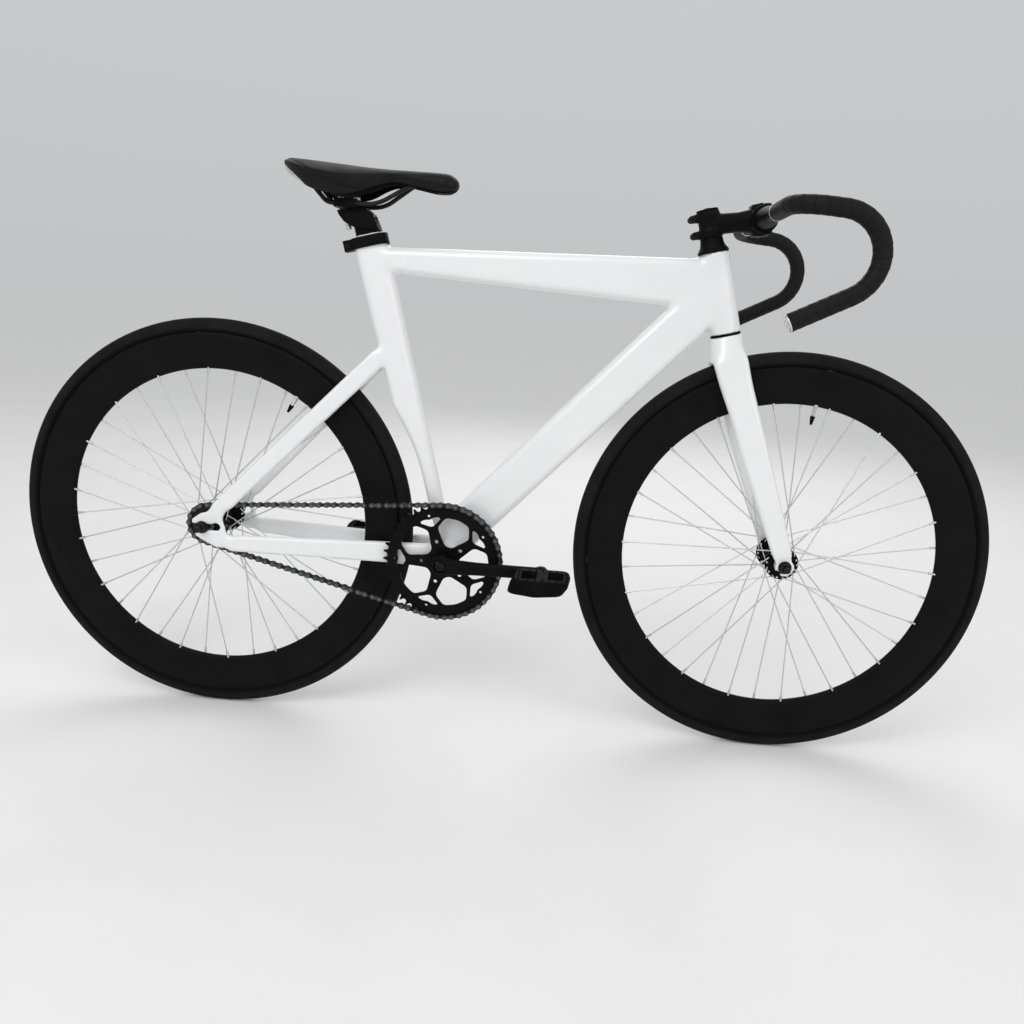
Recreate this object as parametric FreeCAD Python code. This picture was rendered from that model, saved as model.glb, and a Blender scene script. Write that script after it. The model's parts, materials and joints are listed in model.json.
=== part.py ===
import FreeCAD, Part
import math
import os

# Fixed gear bike in millimetres: +X forward, +Y left, +Z up.
# The origin is on the ground, midway between the two axles. The drive side is -Y.

V = FreeCAD.Vector
across = V(0, 1, 0)
upward = V(0, 0, 1)
forward = V(1, 0, 0)
full_turn = 360.0
quarter_turn = 90.0

# Layout
wheelbase = 955.0
tyre_radius = 340.0
bracket_ahead = 399.7
bracket_drop = 37.0
head_angle = 75.7
seat_angle = 75.8
fork_rake = 30.0

# Fits and gaps
running_fit = 0.05
press_gap = 0.02
slide_fit = 0.1
face_gap = 0.3
overrun = 10.0
corner_limit_share = 0.96

# Head tube and headset
fork_length = 377.0
headset_gap = 4.0
head_length = 125.0
head_radius = 24.0
head_bore = 17.0
bearing_radius = 20.9
bearing_height = 7.0
steerer_radius = 14.3
steerer_wall = 2.4
race_radius = 18.0
cover_height = 23.0
cover_top_radius = 17.0
cover_waist_share = 0.28
cover_lip_height = 3.5

# Main tubes
tube_wall = 2.0
seat_axis_setback = 12.0
seat_tube_length = 533.0
seat_tube_depth = 53.0
seat_tube_low_depth = 46.0
seat_tube_foot_depth = 22.0
seat_tube_width = 32.0
seat_tube_corner = 14.0
seat_tube_front = 26.6
wheel_gap = 28.0
seat_tube_height_shares = (1.0, 0.72, 0.50, 0.47, 0.44, 0.41, 0.38, 0.35, 0.32, 0.29, 0.26, 0.23, 0.0)
seat_tube_low_share = 0.5
top_tube_rear_depth = 37.0
top_tube_front_depth = 79.0
top_tube_rear_width = 34.0
top_tube_front_width = 40.0
top_tube_corner = 13.0
top_tube_rear_drop = 33.0
top_tube_head_drop = 50.0
down_tube_depth = 68.0
down_tube_width = 42.0
down_tube_corner = 13.0
down_tube_head_drop = 57.0
down_tube_setback = 15.0
down_tube_bracket_rise = 15.0

# Bottom bracket
shell_radius = 24.0
shell_half_width = 34.0
cup_radius = 17.4
cup_bore = 14.0
cup_depth = 16.0
cup_lip = 3.0
cup_lip_radius = 21.5
bracket_bearing_width = 9.0
spindle_radius = 8.5
spindle_half = 52.0
taper_square = 12.6
taper_length = 16.0

# Stays and dropouts
rear_hub_half = 60.0
dropout_thickness = 6.0
dropout_length = 62.0
dropout_height = 62.0
dropout_ahead_shares = (-0.28, -0.28, 0.02, 0.36, 0.62, 0.60, 0.74, 0.74, 0.46, 0.0, -0.20, -0.20)
dropout_rise_shares = (0.083, 0.20, 0.42, 0.62, 0.52, 0.06, -0.24, -0.56, -0.60, -0.37, -0.25, -0.083)
slot_width = 10.3
slot_ahead = 24.0
chain_stay_rear_depth = 27.0
chain_stay_front_depth = 42.0
chain_stay_rear_width = 13.0
chain_stay_front_width = 15.0
chain_stay_waist_depth = 36.0
chain_stay_waist_ahead = 300.0
chain_stay_waist_side = 29.0
chain_stay_rear_ahead = 36.0
chain_stay_rear_drop = 25.0
chain_stay_front_side = 25.0
chain_stay_front_setback = 9.0
chain_stay_front_rise = 4.0
seat_stay_rear_depth = 27.0
seat_stay_front_depth = 30.0
seat_stay_width = 12.0
seat_stay_rear_ahead = 18.0
seat_stay_rear_rise = 22.0
seat_stay_top_share = 0.665
seat_stay_top_side = 11.0
seat_stay_top_setback = 10.0
stay_corner = 5.5
stay_wall = 1.6

# Rear axle and nuts
rear_axle_radius = 5.0
axle_end = 20.0
axle_tip_length = 8.4
axle_groove_width = 1.2
axle_groove_depth = 0.7
collar_radius = 9.0
nut_flats = 15.0
nut_height = 8.0
washer_radius = 10.5
washer_height = 1.8

# Fork
crown_width = 78.0
crown_depth = 54.0
crown_top_size = 50.0
crown_corner = 20.0
crown_height = 38.0
crown_gap = 5.5
crown_shift_share = -0.18
crown_side = 29.0
crown_slot_half = 19.4
brake_bore = 3.1
brake_drop = 17.0
fork_end_side = 53.0
fork_blade_depth = 54.0
fork_blade_thickness = 19.0
fork_blade_corner = 9.0
fork_blade_wall = 2.2
fork_blade_height_shares = (0.8992, 0.80, 0.66, 0.51, 0.27, 0.04)
fork_blade_ahead_shares = (-0.18, -0.04, 0.20, 0.37, 0.68, 1.0)
fork_blade_depth_shares = (1.0, 0.93, 0.85, 0.81, 0.67, 0.48)
fork_blade_thickness_shares = (1.0, 0.95, 0.90, 0.84, 0.74, 0.55)
front_hub_half = 50.0
fork_end_thickness = 6.0
fork_end_width = 22.0
fork_end_tail = 10.0
front_axle_radius = 4.5
front_nut_flats = 15.0

# Stem
stem_clamp_height = 41.0
stem_clamp_radius = 18.5
stem_length = 80.0
stem_drop_angle = 7.0
stem_body_radius = 15.5
bar_clamp_radius = 15.9
bar_clamp_wall = 4.6
bar_clamp_width = 44.0
faceplate_gap = 1.5
pinch_boss_length = 12.0
pinch_boss_width = 24.0
pinch_slot = 2.0
pinch_spread = 20.0
stem_bolt_radius = 2.5
stem_bolt_head_radius = 4.2
stem_bolt_head_height = 4.0
face_bolt_side = 14.0
face_bolt_rise = 19.0
face_bolt_length = 15.0
top_cap_radius = 17.0
top_cap_height = 4.0
top_cap_bolt_radius = 5.0
top_cap_bolt_height = 1.5
steerer_relief = 3.0

# Handlebar
bar_half_width = 210.0
bar_radius = 11.1
bar_wall = 1.8
bar_bulge_half = 45.0
bar_bulge_taper = 30.0
bar_top_bend = 45.0
bar_ramp_angle = 5.0
bar_ramp_length = 18.0
bar_drop_radius = 58.0
bar_end_pitch = 26.8
bar_end_length = 86.0
tape_thickness = 1.7
tape_start = 105.0
plug_lip = 3.0
plug_depth = 18.0

# Seat collar and seatpost
collar_height = 17.0
collar_wall = 3.2
collar_overlap = 2.0
ear_length = 13.0
ear_width = 19.0
ear_slot = 2.4
collar_bolt_radius = 2.5
collar_bolt_head_radius = 4.2
collar_bolt_head_height = 4.0
post_depth = 40.0
post_width = 22.0
post_corner = 10.0
post_insert = 210.0
post_show = 5.0
post_head_half = 14.0
post_head_length = 40.0
post_head_height = 42.0
post_head_ahead_shares = (0.5, 0.49, 0.40, 0.18, -0.08, -0.95, -0.93, -0.78, -0.475)
post_head_height_shares = (0.0, 0.22, 0.62, 0.88, 1.0, 1.0, 0.85, 0.55, 0.30)
cradle_half_length = 18.0
cradle_height = 6.0
cradle_half_width = 28.0
clamp_top_height = 7.0
clamp_setback = 20.5
clamp_bolt_radius = 3.0
clamp_bolt_head_radius = 5.0
clamp_bolt_head_height = 5.0
clamp_bolt_spread = 26.0

# Saddle
rail_radius = 3.5
rail_side = 22.0
saddle_rear_reach = 96.0
saddle_nose_reach = 175.0
saddle_width = 142.0
saddle_height = 71.0
saddle_pad = 7.0
saddle_shell_wall = 3.5
saddle_lip = 1.5
saddle_shoulder_share = 0.58
saddle_draw_share = 0.86
saddle_length_shares = (0.0, 0.03, 0.11, 0.22, 0.37, 0.48, 0.62, 0.75, 0.88, 0.955, 1.0)
saddle_half_shares = (0.30, 0.66, 0.92, 1.0, 0.80, 0.56, 0.36, 0.30, 0.28, 0.24, 0.11)
saddle_top_shares = (0.955, 1.0, 0.985, 0.955, 0.91, 0.87, 0.84, 0.826, 0.81, 0.77, 0.62)
saddle_low_shares = (0.80, 0.66, 0.42, 0.21, 0.16, 0.22, 0.43, 0.43, 0.345, 0.355, 0.44)
rail_front_ahead_share = 0.60
rail_front_rise_share = 0.50
rail_front_side_share = 0.36
rail_bend_ahead_share = 0.29
rail_rear_back_share = 0.30
rail_tail_back_share = 0.62
rail_tail_rise_share = 0.50
rail_tail_side_share = 1.36
rail_bend_radius = 16.0

# Wheels
spoke_count = 36
spoke_cross = 3
spoke_radius = 1.0
spoke_head_radius = 2.2
spoke_head_height = 1.2
spoke_hole = 1.25
spoke_lift = 1.0
spoke_rim_side = 2.4
nipple_radius = 2.0
nipple_out = 9.0
nipple_in = 4.5
rim_inner_radius = 256.8
rim_outer_radius = 316.5
rim_half_width = 11.3
rim_nose_half = 4.6
rim_track_height = 17.0
rim_wall = 1.8
rim_hook = 1.9
rim_bed_depth = 6.5
rim_bulge_share = 0.60
tyre_half_width = 14.0
tyre_wall = 2.3
bead_height = 7.0
bead_thickness = 2.0
air_tube_radius = 10.2
air_tube_skin = 0.9
valve_radius = 3.0
valve_length = 84.0
valve_root_share = 0.75
valve_cap_radius = 3.9
valve_cap_length = 14.0
front_valve_angle = 83.0
rear_valve_angle = 57.5
flange_thickness = 3.2
front_flange_side = 33.0
rear_flange_side = 32.0
front_flange_radius = 27.0
rear_flange_radius = 31.0
flange_edge = 3.2
hub_barrel_radius = 15.0
hub_boss_radius = 16.0
hub_boss_out = 5.0
hub_bearing_radius = 13.0
hub_bearing_width = 8.0
hub_bore = 8.0

# Drive
chainring_teeth = 48
cog_teeth = 16
chain_pitch = 12.7
roller_radius = 3.87
roller_play = 0.18
root_half_angle = 62.0
tooth_height = 3.4
tooth_tip_half = 0.9
tooth_thickness = 2.8
chain_line = 43.0
chain_inner_width = 3.4
chain_plate = 1.2
chain_plate_gap = 0.06
chain_plate_radius = 4.2
chain_waist = 6.0
chain_pin_radius = 1.85
chain_pin_proud = 0.5
ring_thickness = 4.6
ring_rim_outer = 88.0
ring_rim_inner = 77.0
ring_hub_radius = 25.0
ring_arm_count = 5
ring_arm_width = 15.0
ring_arm_length = 58.0
ring_fork_width = 9.0
ring_fork_half_angle = 15.0
ring_boss_radius = 7.0
ring_boss_out = 79.0
ring_boss_hole = 2.6
ring_arm_hole = 3.2
ring_arm_hole_out = 36.0
cog_body_radius = 26.0
cog_bore = 17.5
cog_width = 6.0
lockring_radius = 20.0
lockring_width = 4.0
crank_length = 165.0
crank_boss_radius = 17.0
crank_face = 74.0
crank_inner_face = 60.0
crank_root_depth = 30.0
crank_tip_depth = 23.0
crank_tip_thickness = 11.0
crank_corner = 4.5
crank_bolt_radius = 4.0
crank_bolt_head_radius = 7.5
crank_bolt_head_height = 6.0
crank_bolt_length = 16.0
crank_recess_radius = 9.0
crank_recess_depth = 8.0

# Pedals
pedal_length = 92.0
pedal_width = 66.0
pedal_height = 24.0
pedal_gap = 6.0
pedal_corner = 12.0
pedal_window_length = 22.0
pedal_window_width = 40.0
pedal_window_corner = 3.0
pedal_barrel_radius = 13.0
pedal_side_bar = 9.0
pedal_spindle_radius = 7.0
pedal_collar_radius = 9.0
pedal_collar_length = 4.0
pedal_stud_radius = 2.2
pedal_stud_height = 2.0
pedal_stud_along_share = 0.43
pedal_stud_side_share = 0.36

# Main points and directions
rear_axle = V(-wheelbase / 2, 0, tyre_radius)
front_axle = V(wheelbase / 2, 0, tyre_radius)
bracket = rear_axle + V(bracket_ahead, 0, -bracket_drop)
head_up = V(-math.cos(math.radians(head_angle)), 0, math.sin(math.radians(head_angle)))
head_ahead = V(head_up.z, 0, -head_up.x)
seat_up = V(-math.cos(math.radians(seat_angle)), 0, math.sin(math.radians(seat_angle)))
seat_ahead = V(seat_up.z, 0, -seat_up.x)
steer_foot = front_axle - head_ahead * fork_rake
seat_foot = bracket - forward * seat_axis_setback
head_low = fork_length + headset_gap
head_high = head_low + head_length
stem_low = head_high + cover_height
stem_high = stem_low + stem_clamp_height


def on_head(height, ahead=0, side=0):
    return steer_foot + head_up * height + head_ahead * ahead + across * side


def on_seat(height, ahead=0, side=0):
    return seat_foot + seat_up * height + seat_ahead * ahead + across * side


# Shape helpers
def cylinder(base, direction, radius, length):
    return Part.makeCylinder(radius, length, base, direction)


def ring(base, direction, outer, inner, length):
    bore = cylinder(base - direction * overrun, direction, inner, length + 2 * overrun)
    return cylinder(base, direction, outer, length).cut(bore)


def rounded(centre, wide, deep, width, depth, corner):
    """Closed wire of a rectangle with round corners, along the unit directions wide and deep."""
    radius = min(corner, width / 2 * corner_limit_share, depth / 2 * corner_limit_share)

    def turned_to(angle):
        return wide * math.cos(math.radians(angle)) + deep * math.sin(math.radians(angle))

    arcs = []
    for turn in range(4):
        start = turn * quarter_turn
        wide_sign = 1 if turn in (0, 3) else -1
        deep_sign = 1 if turn in (0, 1) else -1
        middle = centre + wide * (wide_sign * (width / 2 - radius)) + deep * (deep_sign * (depth / 2 - radius))
        ends = [middle + turned_to(start + share * quarter_turn) * radius for share in (0, 0.5, 1)]
        arcs.append(Part.Arc(*ends).toShape())
    edges = []
    for turn, arc in enumerate(arcs):
        following = arcs[(turn + 1) % len(arcs)]
        edges += [arc, Part.makeLine(arc.lastVertex(True).Point, following.firstVertex(True).Point)]
    return Part.Wire(edges)


def loft(wires, ruled=True):
    return Part.makeLoft(wires, True, ruled)


def hollow(stations, wall, ruled=True):
    """Outer envelope and hollow tube through stations of (centre, wide, deep, width, depth, corner)."""
    outer = loft([rounded(*station) for station in stations], ruled)
    inner_wires = []
    for centre, wide, deep, width, depth, corner in stations:
        inner_wires.append(rounded(centre, wide, deep, width - 2 * wall, depth - 2 * wall, corner - wall))
    return outer, outer.cut(loft(inner_wires, ruled))


def prism(wire, travel):
    return Part.Face(wire).extrude(travel)


def polygon(points):
    return Part.makePolygon(points + points[:1])


def turned(centre, points, axis=across, radial=upward):
    """Solid of revolution about the axis through centre, from points of (along the axis, radius)."""
    corners = [centre + axis * along + radial * radius for along, radius in points]
    return Part.Face(polygon(corners)).revolve(centre, axis, full_turn)


def bolt(seat, direction, radius, length, head_radius, head_height, extra=0):
    """Bolt whose head stands on the point seat, with its shank along direction."""
    head = cylinder(seat - direction * head_height, direction, head_radius + extra, head_height)
    return head.fuse(cylinder(seat, direction, radius + extra, length))


def hexagon_nut(base, direction, flats, height, bore):
    corner = flats / math.sqrt(3)
    points = []
    for side in range(6):
        angle = math.radians(side * full_turn / 6)
        points.append(base + forward * (corner * math.cos(angle)) + upward * (corner * math.sin(angle)))
    body = prism(polygon(points), direction * height)
    return body.cut(cylinder(base - direction * overrun, direction, bore, height + 2 * overrun))


def mirrored(shape):
    return shape.mirror(V(0, 0, 0), across)


def joined(shapes):
    return shapes[0].multiFuse(shapes[1:]).removeSplitter()


def cut_all(shape, tools):
    return shape.cut(Part.makeCompound(tools))


def round_path(points, radius):
    """Wire of straight runs through the points, with tangent arcs of one radius at its corners."""
    edges = []
    start = points[0]
    for before, corner, after in zip(points, points[1:], points[2:]):
        into = (corner - before).normalize()
        out = (after - corner).normalize()
        turn = into.getAngle(out)
        reach = radius * math.tan(turn / 2)
        first = corner - into * reach
        last = corner + out * reach
        inward = (out - into).normalize()
        middle = corner + inward * (radius / math.cos(turn / 2) - radius)
        edges += [Part.makeLine(start, first), Part.Arc(first, middle, last).toShape()]
        start = last
    edges.append(Part.makeLine(start, points[-1]))
    return Part.Wire(edges)


def pipe(path, radius):
    edge = path.Edges[0]
    begin = path.OrderedVertexes[0].Point
    along = edge.tangentAt(edge.FirstParameter)
    if (edge.valueAt(edge.FirstParameter) - begin).Length > (edge.valueAt(edge.LastParameter) - begin).Length:
        along = edge.tangentAt(edge.LastParameter) * -1
    profile = Part.Wire(Part.makeCircle(radius, begin, along))
    return path.makePipeShell([profile], True, False)


def save(name, *shapes):
    solids = [solid for shape in shapes for solid in shape.Solids]
    Part.makeCompound(solids).exportStep(os.path.join("parts", name + ".step"))
    sound = all(solid.isValid() for solid in solids)
    print(name, len(solids), round(sum(solid.Volume for solid in solids), 1), "valid" if sound else "NOT VALID")


# Frame
def make_head_tube():
    envelope = cylinder(on_head(head_low), head_up, head_radius, head_length)
    bore = cylinder(on_head(head_low - overrun), head_up, head_bore, head_length + 2 * overrun)
    seat_radius = bearing_radius + press_gap
    low_seat = cylinder(on_head(head_low - overrun), head_up, seat_radius, bearing_height + overrun)
    high_seat = cylinder(on_head(head_high - bearing_height), head_up, seat_radius, bearing_height + overrun)
    save("head_tube", cut_all(envelope, [bore, low_seat, high_seat]))
    bearings = []
    for height in (head_low, head_high - bearing_height):
        bearings.append(ring(on_head(height), head_up, bearing_radius, steerer_radius + running_fit, bearing_height))
    save("headset_bearings", *bearings)
    return envelope


def make_bracket_shell():
    base = bracket - across * shell_half_width
    width = 2 * shell_half_width
    save("bottom_bracket_shell", ring(base, across, shell_radius, cup_radius + press_gap, width))
    cups = []
    bearings = []
    inner = shell_half_width - cup_depth
    for side in (-1, 1):
        outline = ((inner, cup_bore + press_gap), (inner, cup_radius), (shell_half_width, cup_radius),
                   (shell_half_width, cup_lip_radius), (shell_half_width + cup_lip, cup_lip_radius),
                   (shell_half_width + cup_lip, cup_bore + press_gap))
        cups.append(turned(bracket, [(side * along, radius) for along, radius in outline]))
        start = bracket + across * (side * (shell_half_width + cup_lip))
        bearings.append(ring(start, across * -side, cup_bore, spindle_radius + running_fit, bracket_bearing_width))
    save("bottom_bracket_cups", *cups)
    save("bottom_bracket_bearings", *bearings)
    return cylinder(base, across, shell_radius, width)


def seat_tube_section_depth(height):
    """Depth of the seat tube at a height, drawn in where the rear wheel passes behind it."""
    share = height / seat_tube_length
    depth = seat_tube_low_depth + (seat_tube_depth - seat_tube_low_depth) * share
    front = on_seat(height, seat_tube_front) - rear_axle
    along = front.dot(seat_ahead)
    clear = tyre_radius + wheel_gap
    beside = front.dot(front) - along ** 2
    if beside < clear ** 2:
        depth = min(depth, along - math.sqrt(clear ** 2 - beside))
    return max(depth, seat_tube_foot_depth)


def post_section(height, spare):
    return rounded(on_seat(height), across, seat_ahead, post_width + spare, post_depth + spare, post_corner)


def make_seat_tube(shell):
    stations = []
    depth = seat_tube_depth
    for share in seat_tube_height_shares:
        height = share * seat_tube_length
        depth = min(depth, seat_tube_section_depth(height))
        centre = on_seat(height, seat_tube_front - depth / 2)
        stations.append((centre, across, seat_ahead, seat_tube_width, depth, seat_tube_corner))
    envelope = loft([rounded(*station) for station in stations])
    low_stations = [station for station, share in zip(stations, seat_tube_height_shares)
                    if share < seat_tube_low_share]
    low_inner = []
    for centre, wide, deep, width, depth, corner in low_stations:
        low_inner.append(rounded(centre, wide, deep, width - 2 * tube_wall, depth - 2 * tube_wall,
                                 corner - tube_wall))
    bore_low = seat_tube_length + collar_overlap - post_insert - overrun
    socket = prism(post_section(bore_low, 2 * slide_fit), seat_up * (post_insert + 2 * overrun))
    save("seat_tube", cut_all(envelope, [loft(low_inner), socket, shell]))
    return envelope


def make_top_tube(head, seat):
    rear = on_seat(seat_tube_length - top_tube_rear_drop)
    front = on_head(head_high - top_tube_head_drop)
    stations = ((rear, across, upward, top_tube_rear_width, top_tube_rear_depth, top_tube_corner),
                (front, across, upward, top_tube_front_width, top_tube_front_depth, top_tube_corner))
    envelope, tube = hollow(stations, tube_wall)
    save("top_tube", cut_all(tube, [head, seat]))
    return envelope


def make_down_tube(head, shell, seat, top):
    front = on_head(head_high - down_tube_head_drop)
    slope = (front - bracket).normalize()
    rise = V(-slope.z, 0, slope.x)
    rear = bracket + rise * down_tube_bracket_rise
    along = (front - rear).normalize()
    front = front - along * down_tube_setback
    deep = V(-along.z, 0, along.x)
    stations = [(end, across, deep, down_tube_width, down_tube_depth, down_tube_corner) for end in (rear, front)]
    envelope, tube = hollow(stations, tube_wall)
    reach = down_tube_depth + seat_tube_depth
    behind_middle = on_seat(0, seat_tube_front - seat_tube_foot_depth / 2 - reach / 2)
    behind = prism(rounded(behind_middle, across, seat_ahead, 2 * down_tube_width, reach, overrun), seat_up * reach)
    save("down_tube", cut_all(tube, [head, shell, seat, top, behind]))
    return envelope.cut(behind)


def make_stays(shell, seat, down):
    side = rear_hub_half + dropout_thickness / 2
    rear_low = rear_axle + V(chain_stay_rear_ahead, side, -chain_stay_rear_drop)
    front_low = bracket + V(-chain_stay_front_setback, chain_stay_front_side, chain_stay_front_rise)
    waist_share = (chain_stay_waist_ahead - chain_stay_rear_ahead) / (front_low.x - rear_low.x)
    waist = V(rear_axle.x + chain_stay_waist_ahead, chain_stay_waist_side,
              rear_low.z + (front_low.z - rear_low.z) * waist_share)
    low_stations = ((rear_low, across, upward, chain_stay_rear_width, chain_stay_rear_depth, stay_corner),
                    (waist, across, upward, chain_stay_rear_width, chain_stay_waist_depth, stay_corner),
                    (front_low, across, upward, chain_stay_front_width, chain_stay_front_depth, stay_corner))
    low_envelope, low_tube = hollow(low_stations, stay_wall)
    low_tube = cut_all(low_tube, [shell, seat, down])
    rear_high = rear_axle + V(seat_stay_rear_ahead, side, seat_stay_rear_rise)
    seat_height = seat_stay_top_share * seat_tube_length
    front_high = on_seat(seat_height, -seat_stay_top_setback, seat_stay_top_side)
    run = front_high - rear_high
    along = V(run.x, 0, run.z).normalize()
    deep = V(-along.z, 0, along.x)
    high_stations = ((rear_high, across, deep, seat_stay_width, seat_stay_rear_depth, stay_corner),
                     (front_high, across, deep, seat_stay_width, seat_stay_front_depth, stay_corner))
    high_envelope, high_tube = hollow(high_stations, stay_wall)
    high_tube = cut_all(high_tube, [seat])
    save("chain_stays", low_tube, mirrored(low_tube))
    save("seat_stays", high_tube, mirrored(high_tube))
    return low_envelope, high_envelope


def make_dropouts(low_stay, high_stay):
    inner = rear_axle + across * rear_hub_half
    points = []
    for ahead, rise in zip(dropout_ahead_shares, dropout_rise_shares):
        points.append(inner + V(ahead * dropout_length, 0, rise * dropout_height))
    plate = prism(polygon(points), across * dropout_thickness)
    slot_end = inner + forward * slot_ahead - across * overrun
    depth = dropout_thickness + 2 * overrun
    slot_face = rounded(slot_end - forward * (dropout_length / 2), forward, upward,
                        dropout_length + slot_width, slot_width, slot_width / 2)
    plate = cut_all(plate, [prism(slot_face, across * depth), low_stay, high_stay])
    save("rear_dropouts", plate, mirrored(plate))


def make_axle(name, centre, hub_half, plate, radius, flats, boss_half):
    """Axle with its locknut collars and relieved ends, then a washer and nut outside each dropout."""
    outer = hub_half + plate
    end = outer + axle_end
    groove_out = end - axle_tip_length
    groove_in = groove_out - axle_groove_width
    groove_floor = radius - axle_groove_depth
    half_outline = ((boss_half, radius), (boss_half, collar_radius), (hub_half, collar_radius), (hub_half, radius),
                    (groove_in, radius), (groove_in, groove_floor), (groove_out, groove_floor), (groove_out, radius),
                    (end, radius), (end, 0))
    outline = [(-along, height) for along, height in reversed(half_outline)] + list(half_outline)
    save(name, turned(centre, outline))
    nuts = []
    for side in (-1, 1):
        face = centre + across * (side * outer)
        outward = across * side
        bore = radius + press_gap
        washer = ring(face, outward, washer_radius, bore, washer_height)
        nuts += [washer, hexagon_nut(face + outward * washer_height, outward, flats, nut_height, bore)]
    save(name + "_nuts", *nuts)


def make_seat_collar():
    low = seat_tube_length - collar_height + collar_overlap
    depth = seat_tube_depth + 2 * collar_wall
    width = seat_tube_width + 2 * collar_wall
    centre_ahead = seat_tube_front - seat_tube_depth / 2
    band = prism(rounded(on_seat(low, centre_ahead), across, seat_ahead, width, depth,
                         seat_tube_corner + collar_wall), seat_up * collar_height)
    rear = centre_ahead - depth / 2
    ear_middle = rear - ear_length / 2 + collar_wall
    ear_face = rounded(on_seat(low, ear_middle), across, seat_ahead, ear_width, ear_length + 2 * collar_wall,
                       collar_wall)
    collar = band.fuse(prism(ear_face, seat_up * collar_height))
    socket = prism(post_section(low - overrun, 2 * slide_fit), seat_up * (collar_height + 2 * overrun))
    tube_face = rounded(on_seat(low - overrun, centre_ahead), across, seat_ahead, seat_tube_width + 2 * press_gap,
                        seat_tube_depth + 2 * press_gap, seat_tube_corner + press_gap)
    tube_seat = prism(tube_face, seat_up * (collar_height - collar_overlap + overrun + press_gap))
    slot_reach = ear_length + overrun - rear
    slot_face = rounded(on_seat(low - overrun, -slot_reach / 2), across, seat_ahead, ear_slot, slot_reach,
                        ear_slot / 2)
    slot = prism(slot_face, seat_up * (collar_height + 2 * overrun))
    head_seat = on_seat(low + collar_height / 2, ear_middle - collar_wall, -ear_width / 2)
    length = ear_width - collar_bolt_head_height
    screw = bolt(head_seat + across * collar_bolt_head_height, across, collar_bolt_radius, length,
                 collar_bolt_head_radius, collar_bolt_head_height)
    hole = bolt(head_seat + across * collar_bolt_head_height, across, collar_bolt_radius, length,
                collar_bolt_head_radius, collar_bolt_head_height, press_gap)
    save("seat_collar", cut_all(collar, [tube_seat, socket, slot, hole]))
    save("seat_collar_bolt", screw)


# Seat
def make_seat():
    collar_top = seat_tube_length + collar_overlap
    post_low = collar_top - post_insert
    head_low_height = collar_top + post_show
    shaft = prism(post_section(post_low, 0), seat_up * (head_low_height + post_head_height / 2 - post_low))
    head_points = []
    for ahead, rise in zip(post_head_ahead_shares, post_head_height_shares):
        head_points.append(on_seat(head_low_height + rise * post_head_height, ahead * post_head_length,
                                   -post_head_half))
    head = prism(polygon(head_points), across * (2 * post_head_half))
    post = joined([shaft, head])
    head_top = head_low_height + post_head_height
    rail_height = head_top + cradle_height
    rail_line = on_seat(rail_height, -clamp_setback)
    rails = make_rails(rail_line)
    grooves = [pipe(path, rail_radius + press_gap) for path in rails]
    level_low = rounded(rail_line - upward * cradle_height, forward, across, 2 * cradle_half_length,
                        2 * cradle_half_width, cradle_height)
    lower = prism(level_low, upward * (cradle_height - press_gap))
    level_top = rounded(rail_line + upward * press_gap, forward, across, 2 * cradle_half_length,
                        2 * cradle_half_width, cradle_height)
    upper = prism(level_top, upward * clamp_top_height)
    screws = []
    holes = []
    for step in (-1, 1):
        top = rail_line + forward * (step * clamp_bolt_spread / 2) + upward * (clamp_top_height + press_gap)
        length = clamp_top_height + cradle_height + post_head_height / 2
        for extra, group in ((0, screws), (press_gap, holes)):
            group.append(bolt(top, upward * -1, clamp_bolt_radius, length, clamp_bolt_head_radius,
                              clamp_bolt_head_height, extra))
    lower = cut_all(lower, grooves + holes + [post])
    upper = cut_all(upper, grooves + holes)
    save("seatpost", cut_all(post, holes))
    save("saddle_clamp", lower, upper)
    save("saddle_clamp_bolts", *screws)
    rail_solids = [pipe(path, rail_radius) for path in rails]
    save("saddle_rails", *rail_solids)
    make_saddle(rail_line, grooves)


def make_rails(rail_line):
    front = V(rail_front_ahead_share * saddle_nose_reach, rail_front_side_share * rail_side,
              rail_front_rise_share * saddle_height)
    bend = V(rail_bend_ahead_share * saddle_nose_reach, rail_side, 0)
    rear = V(-rail_rear_back_share * saddle_rear_reach, rail_side, 0)
    tail = V(-rail_tail_back_share * saddle_rear_reach, rail_tail_side_share * rail_side,
             rail_tail_rise_share * saddle_height)
    paths = []
    for side in (-1, 1):
        points = [rail_line + V(point.x, side * point.y, point.z) for point in (front, bend, rear, tail)]
        paths.append(round_path(points, rail_bend_radius))
    return paths


def saddle_section(rail_line, station, inset, lift):
    """Crowned section with drawn-in sides, inset all round and moved down by lift."""
    length_share, half_share, top_share, low_share = station
    length = saddle_rear_reach + saddle_nose_reach
    along = -saddle_rear_reach + length * length_share
    half = saddle_width / 2 * half_share - inset
    top = saddle_height * top_share - inset
    low = saddle_height * low_share - lift
    shoulder = low + (top - low) * saddle_shoulder_share
    foot_half = half * saddle_draw_share

    def at(side, rise):
        return rail_line + V(along, side, rise)

    crown = Part.Arc(at(half, shoulder), at(0, top), at(-half, shoulder)).toShape()
    base = Part.makeLine(at(-foot_half, low), at(foot_half, low))
    left = Part.makeLine(at(-half, shoulder), at(-foot_half, low))
    right = Part.makeLine(at(foot_half, low), at(half, shoulder))
    return Part.Wire([crown, left, base, right])


def make_saddle(rail_line, grooves):
    stations = list(zip(saddle_length_shares, saddle_half_shares, saddle_top_shares, saddle_low_shares))
    inner_stations = stations[1:-1]
    outer = loft([saddle_section(rail_line, station, 0, 0) for station in stations], False)
    core = loft([saddle_section(rail_line, station, saddle_pad, saddle_lip) for station in inner_stations], False)
    cavity_inset = saddle_pad + saddle_shell_wall
    cavity_stations = inner_stations[1:-1]
    cavity = loft([saddle_section(rail_line, station, cavity_inset, overrun) for station in cavity_stations], False)
    save("saddle_cover", outer.cut(core))
    save("saddle_shell", cut_all(core, [cavity] + grooves))


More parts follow.
